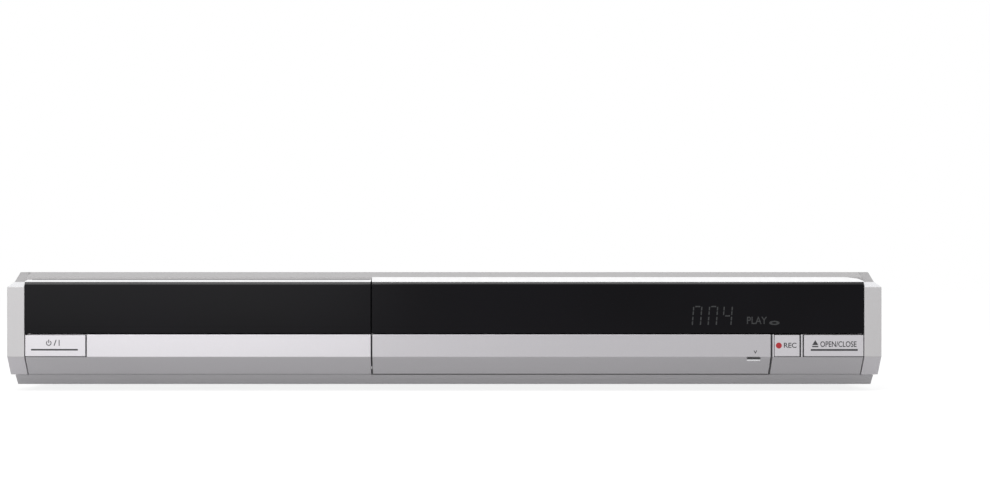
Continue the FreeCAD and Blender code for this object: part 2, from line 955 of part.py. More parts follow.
def make_small_buttons():
    """The buttons behind the flap door, which stand through the jack panel."""
    for index, name in enumerate(SMALL_BUTTONS):
        piece = body(name)
        x = small_button_x(index)
        block(piece, span(x, "small_button_width"),
              ("panel_y - small_button_reach", "panel_y + panel_wall + fit_gap"),
              span("small_button_z", "small_button_height"))
        block(piece, span(x, "stem_height"),
              ("panel_y", "board_y - switch_depth - fit_gap - small_button_travel"),
              span("small_button_z", "small_stem_height"))


def make_flap_door():
    """Silver door over the jacks. It turns down on a pin at each end."""
    piece = body("flap_door")
    ends = ("split_x + panel_gap / 2", "flap_x - panel_gap / 2")
    low_edge = "chin_z + panel_gap * chin_height / chin_set"
    prism(piece, "X", [
        ("front_y", "window_z - panel_gap / 2"),
        ("front_y", "band_z"),
        ("chin_y - panel_gap", low_edge),
        ("chin_y - panel_gap + mould_wall + mould_wall / 2", low_edge),
        ("front_y + mould_wall", "band_z + mould_wall / 2"),
        ("front_y + mould_wall", "window_z - panel_gap / 2"),
    ], ends)
    for boss in (from_low(ends[0], "boss_length"), to_high(ends[1], "boss_length")):
        rod(piece, "X", ("hinge_y", "hinge_z"), "boss_radius", boss)
        bore(piece, "X", ("hinge_y", "hinge_z"), "pin_radius + running_gap", boss)
    # Finger catch: a shallow slot on the chin near the right end
    recess(piece, span("flap_x - catch_from_end", "catch_width"),
           ("front_y", "front_y + catch_depth"), to_high("band_z", "catch_height"))


def make_hinge_pins():
    """Two pins for the flap door, pressed through the bezel's ribs."""
    low = "split_x - panel_gap / 2 - mould_wall"
    high = "flap_x + panel_gap / 2 + mould_wall / 2"
    reach = "panel_gap + boss_length - fit_gap"
    ends = [from_low(low, f"mould_wall + {reach}"), to_high(high, f"mould_wall / 2 + {reach}")]
    pins = [round_bar("X", ("hinge_y", "hinge_z"), "pin_radius", end) for end in ends]
    group("flap_hinge_pins", pins)
    bezel = document.getObject("front_bezel")
    for end in ends:
        bore(bezel, "X", ("hinge_y", "hinge_z"), "pin_radius + tiny_gap / 2", past(*end))


# The front jacks in order from the left
VIDEO_JACK, PHONO_JACKS, DIGITAL_JACK = 0, (1, 2, 3), 4


def jack_x(index):
    return f"split_x + jack_first + {index} * jack_gap"


def make_jack_panel():
    """Black panel behind the flap door, with holes for the buttons and the jacks."""
    piece = body("jack_panel")
    ends = ("split_x + panel_gap", "flap_x - panel_gap")
    through = past("panel_y", "panel_y + panel_wall")
    block(piece, ends, from_low("panel_y", "panel_wall"),
          ("base_z + panel_low_rise", "window_z - panel_gap - mould_wall / 2 - fit_gap / 2"))
    for index in range(len(SMALL_BUTTONS)):
        recess(piece, span(small_button_x(index), "small_button_width + 2 * fit_gap"), through,
               span("small_button_z", "small_button_height + 2 * fit_gap"))
    bore(piece, "Y", (jack_x(VIDEO_JACK), "small_button_z"), "svideo_radius + jack_clearance", through)
    for index in PHONO_JACKS:
        bore(piece, "Y", (jack_x(index), "small_button_z"), "collar_radius + jack_clearance", through)
    recess(piece, span(jack_x(DIGITAL_JACK), "digital_width + 2 * jack_clearance"), through,
           span("small_button_z", "digital_height + 2 * jack_clearance"))


def phono_jack(x, z, face, back, out):
    """A phono socket along Y: barrel, collar, bore and square housing, open towards out, -1 or 1."""
    tip = f"{face} + ({out}) * phono_reach"
    barrel = round_bar("Y", (x, z), "phono_radius", towards(out, face, tip))
    collar = round_bar("Y", (x, z), "collar_radius", towards(out, face, f"{face} + ({out}) * collar_reach"))
    housing = box(span(x, "2 * ring_radius"), towards(out, back, face), span(z, "2 * ring_radius"))
    hole = round_bar("Y", (x, z), "phono_bore",
                     towards(out, f"{face} + ({out}) * tiny_gap", f"{tip} + ({out}) * overcut"))
    return less(fused(barrel, collar, housing), hole)


def svideo_jack(x, z, face, back, reach, out):
    """A round video socket: a ring with a groove round its core, open towards out, -1 or 1."""
    tip = f"{face} + ({out}) * ({reach})"
    ring = round_bar("Y", (x, z), "svideo_radius", towards(out, face, tip))
    housing = box(span(x, "2 * ring_radius"), towards(out, back, face), span(z, "2 * ring_radius"))
    groove_ends = towards(out, f"{tip} - ({out}) * svideo_depth", f"{tip} + ({out}) * overcut")
    groove = less(
        round_bar("Y", (x, z), "svideo_radius - svideo_wall", groove_ends),
        round_bar("Y", (x, z), "svideo_radius - svideo_wall - svideo_groove", groove_ends),
    )
    return less(fused(ring, housing), groove)


def make_front_jacks():
    """Round video, three phono and a small digital socket behind the jack panel."""
    face, back = "panel_y + panel_wall + tiny_gap", "board_y"
    solids = [svideo_jack(jack_x(VIDEO_JACK), "small_button_z", face, back,
                          "panel_wall + tiny_gap + svideo_reach", -1)]
    for index in PHONO_JACKS:
        solids.append(phono_jack(jack_x(index), "small_button_z", face, back, -1))
    x = jack_x(DIGITAL_JACK)
    tip = "panel_y - svideo_reach"
    shell = box(span(x, "digital_width"), (tip, back), span("small_button_z", "digital_height"))
    slot = box(span(x, "digital_slot_width"), (f"{tip} - overcut", "panel_y + panel_wall"),
               span("small_button_z", "digital_slot_height"))
    solids.append(less(shell, slot))
    group("front_jacks", solids)


def make_front_boards():
    """Board across the right of the front, with a small one behind the power button."""
    right = box(("split_x + board_margin", "cap_x - board_margin"), from_low("board_y", "board_thick"),
                ("floor_z + board_margin", "crown_z - mould_wall - board_margin"))
    power_y = "front_y + power_board_set"
    left = box(("-cap_x + board_margin", "power_x - tiny_gap"), from_low(power_y, "board_thick"),
               ("chin_z + mould_wall + fit_gap", "window_z - board_margin"))
    group("front_boards", [right, left])
    button_spots = [("(flap_x + mullion_x) / 2", "button_z"), ("(open_x + cap_x) / 2", "button_z")]
    button_spots += [(small_button_x(index), "small_button_z") for index in range(len(SMALL_BUTTONS))]
    switches = [box(span(x, "switch_size"), to_high("board_y", "switch_depth"), span(z, "switch_size"))
                for x, z in button_spots]
    switches.append(box(span("(power_x - cap_x) / 2", "switch_size"),
                        to_high(power_y, "switch_depth"), span("button_z", "switch_size")))
    group("front_switches", switches)
    glass = body("fluorescent_display")
    block(glass, span("cap_x - display_set", "display_width"), to_high("board_y", "display_thick"),
          span("display_rise", "display_height"))


def make_bottom_chassis():
    """Steel tray with folded sides and front, and the standoffs pressed into it."""
    piece = body("bottom_chassis")
    front = "strip_back_y + mould_wall + fit_gap"
    sides = ("-inner_x + fit_gap", "inner_x - fit_gap")
    block(piece, sides, (front, "wall_y - tiny_gap"), from_low("base_z", "chassis_sheet"))
    block(piece, sides, from_low(front, "chassis_sheet"), from_low("base_z", "front_fold"))
    for low in (sides[0], f"{sides[1]} - chassis_sheet"):
        block(piece, from_low(low, "chassis_sheet"), ("bezel_y + fit_gap", "wall_y - tiny_gap"),
              from_low("base_z", "side_fold"))
    for x, y in standoffs():
        rod(piece, "Z", (x, y), "standoff_radius", ("base_z", "pcb_z"))
    for x, y in feet_spots():
        bore(piece, "Z", (x, y), "foot_peg_radius + tiny_gap", past("base_z", "floor_z"))
    for y in ("screw_back", "-screw_front"):
        bore(piece, "X", (y, "base_z + screw_rise"), "screw_radius + fit_gap / 2", ALL_X)


def standoffs():
    edge = "2 * standoff_radius"
    spots = [(x, f"main_y + {edge}") for x in (f"main_left + {edge}", f"main_right - {edge}")]
    spots += [(x, f"pcb_y - {edge}") for x in (f"main_left + {edge}", f"tongue_x - {edge}")]
    for x in (f"supply_x + {edge}", f"inner_x - supply_right - {edge}"):
        spots += [(x, f"pcb_y - {edge}"), (x, f"pcb_y - supply_length + {edge}")]
    return spots


def feet_spots():
    return [(x, y) for x in ("-foot_spread", "foot_spread")
            for y in ("front_y + front_foot_set", "back_y - back_foot_set")]


def make_feet():
    feet = []
    for x, y in feet_spots():
        pad = round_bar("Z", (x, y), "foot_radius", (0, "base_z"))
        peg = round_bar("Z", (x, y), "foot_peg_radius", ("base_z / 2", "base_z + foot_peg_length"))
        feet.append(fused(pad, peg))
    group("feet", feet)


def make_rear_panel():
    """Steel sheet with a hole for each socket and a grille for the fan."""
    piece = body("rear_panel")
    high = "cover_z - cover_sheet - fit_gap"
    through = past("wall_y", "rear_y")
    block(piece, ("-inner_x + fit_gap", "inner_x - fit_gap"), ("wall_y", "rear_y"), ("base_z", high))
    block(piece, ("-inner_x + fit_gap", "inner_x - fit_gap"), ("wall_y - rear_fold", "rear_y"),
          to_high(high, "chassis_sheet"))
    clear = "2 * socket_gap"
    for x in scart_spots():
        recess(piece, span(x, f"scart_width + {clear}"), through,
               span("scart_z", f"scart_height + {clear}"))
    for x, z in phono_spots():
        bore(piece, "Y", (x, z), "collar_radius + socket_gap", through)
    x = "digital_x"
    bore(piece, "Y", (x, "floor_z + rear_svideo_rise"), "svideo_radius + socket_gap", through)
    recess(piece, span(x, f"optical_size + {clear}"), through,
           span("floor_z + optical_rise", f"optical_size + {clear}"))
    recess(piece, span(x, f"hdmi_width + {clear}"), through,
           span("floor_z + hdmi_rise", f"hdmi_height + {clear}"))
    for rise in ("aerial_low", "aerial_high"):
        bore(piece, "Y", ("tuner_x", f"pcb_top + {rise}"), "aerial_radius + socket_gap", through)
    recess(piece, span("inlet_x", f"inlet_width + {clear}"), through,
           span("inlet_z", f"inlet_height + {clear}"))
    first = "fan_x - grille_pitch * (grille_count - 1) / 2"
    opening = recess(piece, span(first, "grille_width"), through, span("fan_z", "grille_height"))
    row(piece, opening, "X", "grille_pitch", "grille_count")
    for x in ("-screw_spread", 0, "screw_spread"):
        bore(piece, "Y", (x, "cover_z - cover_lip / 2"), "screw_radius + fit_gap / 2", through)


def scart_spots():
    return [f"scart_x + {index} * scart_pitch" for index in range(count("scart_count"))]


def phono_columns():
    return [f"phono_x + {index} * phono_pitch" for index in range(count("phono_columns"))]


def phono_spots():
    return [(x, f"floor_z + {rise}") for x in phono_columns() for rise in ("phono_low", "phono_high")]


def make_top_cover():
    """Painted steel cover: top, two sides with vents, and a lip down the back."""
    piece = body("top_cover")
    front = "bezel_y + fit_gap"
    back = "rear_y + cover_sheet + tiny_gap"
    block(piece, ("-side_x", "side_x"), (front, back), to_high("cover_z", "cover_sheet"))
    for low in ("-side_x", "inner_x"):
        block(piece, from_low(low, "cover_sheet"), (front, back), ("base_z", "cover_z"))
    block(piece, ("-side_x", "side_x"), to_high(back, "cover_sheet"), to_high("cover_z", "cover_lip"))
    for y in ("screw_back", "-screw_front"):
        bore(piece, "X", (y, "base_z + screw_rise"), "screw_radius + fit_gap / 2", ALL_X)
    for x in ("-screw_spread", 0, "screw_spread"):
        bore(piece, "Y", (x, "cover_z - cover_lip / 2"), "screw_radius + fit_gap / 2", ("wall_y", "back_y"))
    vent = recess(piece, ALL_X, from_low("vent_start", "vent_width"),
                  to_high("cover_z - cover_lip", "vent_length"))
    row(piece, vent, "Y", "vent_pitch", "vent_count")


def screw(axis, centre, seat, out):
    """A cover screw: head outside the seat, shank inwards; out is -1 or 1."""
    head = towards(out, seat, f"{seat} + ({out}) * screw_head_height")
    shank = towards(out, f"{seat} - ({out}) * screw_length", seat)
    return fused(round_bar(axis, centre, "screw_head_radius", head),
                 round_bar(axis, centre, "screw_radius", shank))


def make_case_screws():
    screws = []
    for y in ("screw_back", "-screw_front"):
        screws.append(screw("X", (y, "base_z + screw_rise"), "side_x", 1))
        screws.append(screw("X", (y, "base_z + screw_rise"), "-side_x", -1))
    for x in ("-screw_spread", 0, "screw_spread"):
        screws.append(screw("Y", (x, "cover_z - cover_lip / 2"), "rear_y + cover_sheet + tiny_gap", 1))
    group("case_screws", screws)


def across_drive(low, high, side):
    """A range across the drive, given from its middle line, on the left for side -1."""
    return towards(side, f"drive_x + ({side}) * ({low})", f"drive_x + ({side}) * ({high})")


def make_drive_frame():
    """Plastic tub of the disc drive, with the tray's ledges and guides and the gear post."""
    piece = body("drive_frame")
    block(piece, span("drive_x", "drive_width"), ("drive_y", "drive_end"), ("drive_z", "drive_top"))
    recess(piece, span("drive_x", "2 * drive_in"), ("drive_y + drive_wall", "drive_end - drive_wall"),
           ("drive_floor_z", "drive_top + overcut"))
    recess(piece, span("drive_x", "2 * drive_in"), ("drive_y - overcut", "drive_y + drive_wall"),
           ("drive_z + drive_front_wall", "drive_top + overcut"))
    full = ("drive_y", "drive_end - drive_wall")
    for side in SIDES:
        block(piece, across_drive("drive_in - ledge_width", "drive_in", side), full,
              to_high("ledge_z", "ledge_thick"))
        block(piece, across_drive("tray_width / 2 + fit_gap", "drive_in", side), full,
              ("ledge_z", "tray_z"))
        block(piece, across_drive("drive_in - guide_width - rail_width", "drive_in", side), full,
              from_low("tray_top + fit_gap", "guide_height"))
    for spot in guide_posts():
        rod(piece, "Z", spot, "guide_post_radius", ("drive_z", "deck_z + lift_travel + traverse_plate"))
    # Post of the loading gear, with a shoulder under the pulley
    rod(piece, "Z", ("gear_x", "gear_y"), "post_shoulder",
        ("drive_z", "pulley_top - pulley_thick - fit_gap"))
    rod(piece, "Z", ("gear_x", "gear_y"), "post_radius", ("drive_z", "gear_top"))
    # Rails of the lift slider
    for low in ("slider_y - slider_thick - fit_gap - drive_wall", "slider_y + fit_gap"):
        block(piece, span("drive_x", "slider_width"), from_low(low, "drive_wall"),
              from_low("drive_floor_z", "slider_rail"))


def guide_posts():
    return [(f"drive_x + ({side}) * guide_post_side", y) for side in SIDES
            for y in ("disc_y - guide_post_front", "disc_y + guide_post_back")]


def make_drive_lid():
    """Sheet lid over the disc drive, folded down at both sides."""
    piece = body("drive_lid")
    inner = "drive_width / 2 + fit_gap"
    outer = f"{inner} + lid_sheet"
    block(piece, span("drive_x", f"2 * ({outer})"), ("drive_y", "drive_end"),
          from_low("drive_top", "lid_sheet"))
    for side in SIDES:
        block(piece, across_drive(inner, outer, side), ("drive_y", "drive_end"),
              to_high("drive_top", "lid_side"))


def make_clamper():
    """Bridge over the disc and the clamper that hangs in its hole."""
    bridge = body("clamper_bridge")
    block(bridge, span("drive_x", "2 * drive_in - 2 * tiny_gap"), span("disc_y", "bridge_width"),
          from_low("bridge_z", "bridge_thick"))
    bore(bridge, "Z", ("drive_x", "disc_y"), "bridge_bore", past("bridge_z", "bridge_z + bridge_thick"))
    centre = ("drive_x", "disc_y")
    seat = "bridge_z + bridge_thick + fit_gap"
    piece = body("disc_clamper")
    rod(piece, "Z", centre, "clamper_flange", from_low(seat, "clamper_flange_thick"))
    rod(piece, "Z", centre, "clamper_neck", ("tray_top + fit_gap", seat))
    bore(piece, "Z", centre, "clamper_recess", from_low("tray_top", "clamper_recess_depth"))


def gear_outline():
    """Involute gear about its own centre, with a tooth on the -X side."""
    module, teeth, play = value("gear_module"), count("gear_teeth"), value("tooth_play")
    pitch_radius = module * teeth / 2
    base = pitch_radius * math.cos(math.radians(value("pressure_angle")))
    tip, root = pitch_radius + module - play, pitch_radius - value("tooth_root") * module
    half_tooth = math.pi / (2 * teeth) - play / (2 * pitch_radius)

    def flank(radius):
        reach = math.acos(base / radius) if radius > base else 0
        return math.tan(reach) - reach

    start = flank(pitch_radius)
    steps = count("flank_steps")
    radii = [base + (tip - base) * step / steps for step in range(steps + 1)]
    points = []
    for index in range(teeth):
        middle = math.pi + 2 * math.pi * index / teeth
        rise = [(root, middle - half_tooth - start)]
        rise += [(radius, middle - half_tooth - start + flank(radius)) for radius in radii]
        fall = [(radius, 2 * middle - angle) for radius, angle in reversed(rise)]
        points += [(radius * math.cos(angle), radius * math.sin(angle)) for radius, angle in rise + fall]
    return points


def make_disc_tray():
    """Disc tray with two wells, a slot for the turntable and pickup, rails and a rack."""
    piece = body("disc_tray")
    tray_end = "disc_y + disc_well + tray_tail"
    block(piece, span("drive_x", "tray_width"), ("fascia_back", tray_end), ("tray_z", "tray_top"))
    block(piece, span("drive_x", "tray_width - 2 * tray_bar_side"),
          from_low("fascia_back", "tray_bar_depth"), ("tray_z - tray_bar_drop", "tray_top + tray_bar_rise"))
    for side in SIDES:
        block(piece, across_drive("tray_width / 2 - rail_width", "tray_width / 2", side),
              ("drive_y", tray_end), ("rail_z", "tray_z"))
    make_rack(piece)
    centre = ("drive_x", "disc_y")
    well = "tray_top - well_depth"
    bore(piece, "Z", centre, "disc_well", (well, "tray_top + overcut"))
    bore(piece, "Z", centre, "small_well", (f"{well} - small_well_depth", "tray_top"))
    recess(piece, span("drive_x", "tray_slot_width"), ("disc_y - tray_slot_front", "disc_y + tray_slot_back"),
           past("rail_z", "tray_top"))
    # Finger notch at the front of the well
    bore(piece, "Z", ("drive_x", "fascia_back + tray_bar_depth + notch_set"), "notch_radius",
         ("tray_z", "tray_top + overcut"))


def make_rack(piece):
    """Rack under the tray's left side: a strip and a row of teeth that face the gear."""
    root, tip = "rack_x - gear_module - tooth_play", "rack_x + gear_module - tooth_play"
    high = ("gear_top - gear_thick", "tray_z")
    half, lean = "(gear_pitch / 4 - tooth_play / 2)", "(gear_module * tan(pressure_angle))"
    block(piece, ("rack_x - gear_module - rack_width", root),
          from_low("rack_y - gear_pitch / 2", "rack_teeth * gear_pitch"), high)
    tooth = prism(piece, "Z", [
        (root, f"rack_y - {half} - {lean}"),
        (tip, f"rack_y - {half} + {lean}"),
        (tip, f"rack_y + {half} - {lean}"),
        (root, f"rack_y + {half} + {lean}"),
    ], high)
    row(piece, tooth, "Y", "gear_pitch", "rack_teeth")


def make_loading_gear():
    """Gear under the tray and the belt pulley below it, in one piece."""
    low, high = value("gear_top - gear_thick"), value("gear_top")
    spot = ("gear_x", "gear_y")
    corners = [Vector(value("gear_x") + x, value("gear_y") + y, low) for x, y in gear_outline()]
    teeth = document.addObject("Part::Feature", "Teeth")
    face = Part.Face(Part.makePolygon(corners + corners[:1]))
    teeth.Shape = face.extrude(Vector(0, 0, high - low))
    under = "pulley_top - pulley_thick"
    neck = round_bar("Z", spot, "post_shoulder", (under, "gear_top - gear_thick"))
    hole = round_bar("Z", spot, "post_radius + running_gap", past(under, "gear_top"))
    group("loading_gear", [less(fused(teeth, neck, *pulley(spot, "pulley_radius")), hole)])


def pulley(spot, radius):
    """A flanged pulley: the groove that the belt lies in, and a rim at each end."""
    low, high = "pulley_top - pulley_thick", "pulley_top"
    rim = "(pulley_thick - belt_side) / 2 - running_gap"
    return [round_bar("Z", spot, f"{radius} - belt_side", (low, high)),
            round_bar("Z", spot, radius, from_low(low, rim)),
            round_bar("Z", spot, radius, to_high(high, rim))]


def make_loading_motor():
    """Motor with its shaft, the small pulley on it and the belt to the gear."""
    spot = ("motor_x", "gear_y")
    piece = body("loading_motor")
    rod(piece, "Z", spot, "motor_radius", from_low("drive_floor_z", "motor_height"))
    rod(piece, "Z", spot, "post_radius", ("drive_floor_z", "pulley_top + fit_gap"))
    hole = round_bar("Z", spot, "post_radius + running_gap", past("pulley_top - pulley_thick", "pulley_top"))
    group("motor_pulley", [less(fused(*pulley(spot, "motor_pulley_radius")), hole)])
    make_belt()


def make_belt():
    """Loading belt: a closed loop round both pulleys, square in section."""
    big = Vector(value("gear_x"), value("gear_y"), 0)
    small = Vector(value("motor_x"), value("gear_y"), 0)
    side, play = value("belt_side"), value("running_gap")
    big_inner, small_inner = value("pulley_radius") - side + play, value("motor_pulley_radius") - side + play
    low = value("pulley_top - pulley_thick / 2 - belt_side / 2")
    outer = belt_face(big, big_inner + side, small, small_inner + side, low)
    inner = belt_face(big, big_inner, small, small_inner, low)
    shape("loading_belt", outer.cut(inner).extrude(Vector(0, 0, side)))


def belt_face(big, big_radius, small, small_radius, level):
    """The face inside a taut loop round two circles, the small one to the right."""
    reach = small.x - big.x
    lean = math.acos((big_radius - small_radius) / reach)

    def rim(centre, radius, angle):
        return Vector(centre.x + radius * math.cos(angle), centre.y + radius * math.sin(angle), level)

    big_arc = Part.Arc(rim(big, big_radius, lean), rim(big, big_radius, math.pi), rim(big, big_radius, -lean))
    small_arc = Part.Arc(rim(small, small_radius, -lean), rim(small, small_radius, 0),
                         rim(small, small_radius, lean))
    low_run = Part.LineSegment(rim(big, big_radius, -lean), rim(small, small_radius, -lean))
    high_run = Part.LineSegment(rim(small, small_radius, lean), rim(big, big_radius, lean))
    return Part.Face(Part.Wire([edge.toShape() for edge in (big_arc, low_run, small_arc, high_run)]))


def make_lift_slider():
    """Plate with two sloping slots. Moving to the right, it lifts the traverse."""
    piece = body("lift_slider")
    low = "drive_floor_z + fit_gap"
    block(piece, span("drive_x - lift_travel * lift_slope / 2", "slider_width - lift_travel * lift_slope"),
          ("slider_y - slider_thick", "slider_y"), from_low(low, "slider_height"))
    half = "(cam_pin_radius + cam_play)"
    run = "lift_travel * lift_slope"
    slope = "sqrt(1 + lift_slope * lift_slope)"
    for side in SIDES:
        x = f"(drive_x + {side} * cam_pin_side)"
        along_x, along_z = f"{half} * lift_slope / {slope}", f"{half} / {slope}"
        cutout(piece, "Y", [
            (f"{x} + {along_x} - {along_z}", f"cam_z - {along_z} - {along_x}"),
            (f"{x} + {along_x} + {along_z}", f"cam_z - {along_z} + {along_x}"),
            (f"{x} - {run} - {along_x} + {along_z}", f"cam_z + lift_travel + {along_z} + {along_x}"),
            (f"{x} - {run} - {along_x} - {along_z}", f"cam_z + lift_travel + {along_z} - {along_x}"),
        ], past("slider_y - slider_thick", "slider_y"))


def make_traverse():
    """Plate that carries the turntable and the pickup, on four posts."""
    piece = body("traverse_frame")
    block(piece, span("drive_x", "traverse_width"), ("disc_y - traverse_front", "disc_y + traverse_back"),
          ("traverse_z", "deck_z"))
    for spot in guide_posts():
        bore(piece, "Z", spot, "guide_post_radius + running_gap", past("traverse_z", "deck_z"))
    # The cam pins are round only in front of the plate, so what stands out above and below it goes
    pin_front = "disc_y - traverse_front"
    for side in SIDES:
        rod(piece, "Y", (f"drive_x + {side} * cam_pin_side", "cam_z"), "cam_pin_radius",
            (f"{pin_front} - cam_pin_length", "disc_y"))
    spare = "2 * cam_pin_radius"
    for low, high in ((f"cam_z - {spare}", "traverse_z"), ("deck_z", f"cam_z + {spare}")):
        recess(piece, span("drive_x", "traverse_width"), (pin_front, "disc_y + overcut"), (low, high))
    # Opening under the pickup
    recess(piece, span("drive_x", "2 * (rod_side - lug_width)"),
           ("sled_y + lug_depth", "disc_y + guide_post_back - lug_width"), past("traverse_z", "deck_z"))
    # Lugs that hold the guide rods, and the bearing and motor seat of the lead screw
    for side in SIDES:
        x = f"drive_x + {side} * rod_side"
        for low in ("rod_start", "rod_end"):
            block(piece, span(x, "lug_width"), from_low(low, "lug_depth"), from_low("deck_z", "lug_height"))
        bore(piece, "Y", (x, "rod_z"), "rod_radius + tiny_gap / 2", past("rod_start", "rod_end + lug_depth"))
    block(piece, span("lead_x", "nut_width"), from_low("lead_end + fit_gap", "bearing_depth"),
          from_low("traverse_z", "bearing_height"))
    bore(piece, "Y", ("lead_x", "lead_z"), "lead_end_radius + running_gap",
         ("lead_end", "lead_end + bearing_depth + overcut"))
    recess(piece, span("lead_x", "2 * sled_motor_radius + fit_gap"),
           ("lead_start - sled_motor_length - fit_gap", "lead_start"), past("traverse_z", "deck_z"))


def make_pickup():
    """Guide rods, spindle motor, turntable, pickup sled, lens, lead screw and its motor."""
    rods = [round_bar("Y", (f"drive_x + {side} * rod_side", "rod_z"), "rod_radius",
                      ("rod_start", "rod_end + lug_depth")) for side in SIDES]
    group("guide_rods", rods)
    centre = ("drive_x", "disc_y")
    motor = body("spindle_motor")
    rod(motor, "Z", centre, "spindle_motor_radius", from_low("deck_z", "spindle_motor_height"))
    table = body("turntable")
    rod(table, "Z", centre, "turntable_radius", to_high("turntable_z", "turntable_thick"))
    rod(table, "Z", centre, "nose_radius", from_low("turntable_z", "nose_height"))
    rod(table, "Z", centre, "spindle_shaft_radius",
        ("deck_z + spindle_motor_height + fit_gap", "turntable_z"))
    sled = body("pickup_sled")
    low = "deck_z + fit_gap"
    sled_ends = from_low("sled_y", "sled_length")
    block(sled, span("drive_x", "sled_width"), sled_ends, from_low(low, "sled_height"))
    for side in SIDES:
        bore(sled, "Y", (f"drive_x + {side} * rod_side", "rod_z"), "rod_radius + running_gap", past(*sled_ends))
    nut = to_high("sled_y + sled_length - nut_from_back", "nut_depth")
    block(sled, ("drive_x + sled_width / 2", "lead_x + nut_width / 2"), nut, from_low(low, "sled_height"))
    bore(sled, "Y", ("lead_x", "lead_z"), "lead_radius + running_gap", past(*sled_ends))
    lens = body("pickup_lens")
    rod(lens, "Z", ("drive_x", "sled_y + lens_from_front"), "lens_radius",
        from_low(f"{low} + sled_height", "lens_height"))
    lead = body("lead_screw")
    rod(lead, "Y", ("lead_x", "lead_z"), "lead_radius", ("lead_start", "lead_end"))
    rod(lead, "Y", ("lead_x", "lead_z"), "lead_end_radius",
        ("lead_start", "lead_end + fit_gap + bearing_depth"))
    sled_motor = body("sled_motor")
    rod(sled_motor, "Y", ("lead_x", "lead_z"), "sled_motor_radius",
        to_high("lead_start - fit_gap", "sled_motor_length"))


def make_hard_disk():
    """Hard disk on its sheet bracket, and the four blocks under the disc drive."""
    x = from_low("disk_x", "disk_width")
    y = from_low("disk_y", "disk_length")
    base = box(x, y, from_low("disk_z", "disk_base"))
    lid = box(within(x, "board_margin"), within(y, "board_margin"),
              ("disk_z + disk_base", "disk_z + disk_height"))
    group("hard_disk", [fused(base, lid)])
    sheet = "bracket_sheet"
    parts = [box(x, y, to_high("disk_z", sheet))]
    for low in (f"{x[0]} - {sheet}", x[1]):
        parts.append(box(from_low(low, sheet), y, (f"disk_z - {sheet}", "disk_z + bracket_ear")))
        for start in (y[0], f"{y[1]} - bracket_foot"):
            parts.append(box(from_low(low, sheet), from_low(start, "bracket_foot"), ("floor_z", "disk_z")))
    blocks = [fused(*parts)]
    for side in SIDES:
        for y in (from_low("drive_y + drive_foot_set", "drive_foot"),
                  to_high("drive_end - drive_foot_set", "drive_foot")):
            blocks.append(box(across_drive("drive_in - drive_foot", "drive_in", side), y,
                              ("floor_z", "drive_z")))
    group("inner_brackets", blocks)


def make_boards():
    """Main board with a notch for the fan, and the power supply's board."""
    main = body("main_board")
    prism(main, "Z", [
        ("main_left", "main_y"),
        ("main_right", "main_y"),
        ("main_right", "pcb_y - main_board_notch"),
        ("tongue_x", "pcb_y - main_board_notch"),
        ("tongue_x", "pcb_y"),
        ("main_left", "pcb_y"),
    ], from_low("pcb_z", "board_thick"))
    supply = body("power_board")
    block(supply, ("supply_x", "inner_x - supply_right"), to_high("pcb_y", "supply_length"),
          from_low("pcb_z", "board_thick"))
    chips = [box(span(f"tuner_x - {kind}_first - {index} * {kind}_pitch", f"{kind}_size"),
                 from_low("main_y + chip_row_set", f"{kind}_size"), from_low("pcb_top", "chip_thick"))
             for kind in ("chip", "small_chip") for index in range(count(f"{kind}_count"))]
    capacitors = [round_bar("Z", (f"supply_x + capacitor_set + {index} * capacitor_pitch",
                                  "supply_y + capacitor_set"),
                            "capacitor_radius", from_low("pcb_top", "capacitor_height"))
                  for index in range(count("capacitor_count"))]
    capacitors += [round_bar("Z", ("supply_x + capacitor_set",
                                   f"supply_y + small_capacitor_set + {index} * small_capacitor_pitch"),
                             "small_capacitor_radius", from_low("pcb_top", "small_capacitor_height"))
                   for index in range(count("small_capacitor_count"))]
    group("board_components", chips + capacitors)


def make_power_parts():
    """Transformer and finned heat sinks on the power supply's board."""
    x = span("(supply_x + inner_x) / 2 + transformer_shift", "transformer_width")
    y = from_low("supply_y + transformer_set", "transformer_depth")
    core = box(x, within(y, "core_inset"), from_low("pcb_top", "transformer_height"))
    coil = box(within(x, "coil_inset"), y, ("pcb_top", "pcb_top + transformer_height - coil_inset"))
    group("transformer", [fused(core, coil)])
    sinks = []
    for number in range(count("sink_count")):
        start = f"{y[1]} + sink_gap + {number} * sink_pitch"
        back = box(from_low(x[0], "sink_width"), from_low(start, "sink_back"),
                   from_low("pcb_top", "sink_height"))
        fins = [box(from_low(f"{x[0]} + {index} * fin_pitch", "fin_thick"),
                    from_low(f"{start} + sink_back / 2", "fin_depth"), from_low("pcb_top", "sink_height"))
                for index in range(count("fin_count"))]
        sinks.append(fused(back, *fins))
    group("heat_sinks", sinks)


def make_tuner():
    """Screened tuner box on the main board, with the aerial sockets through the rear panel."""
    can = box(span("tuner_x", "tuner_width"), to_high("wall_y - tiny_gap", "tuner_depth"),
              from_low("pcb_top", "tuner_height"))
    spots = [("tuner_x", f"pcb_top + {rise}") for rise in ("aerial_low", "aerial_high")]
    sockets = [round_bar("Y", spot, "aerial_radius", ("wall_y - overcut", "back_y")) for spot in spots]
    bores = [round_bar("Y", spot, "aerial_bore", ("rear_y", "back_y + overcut")) for spot in spots]
    group("tuner_module", [less(fused(can, *sockets), *bores)])


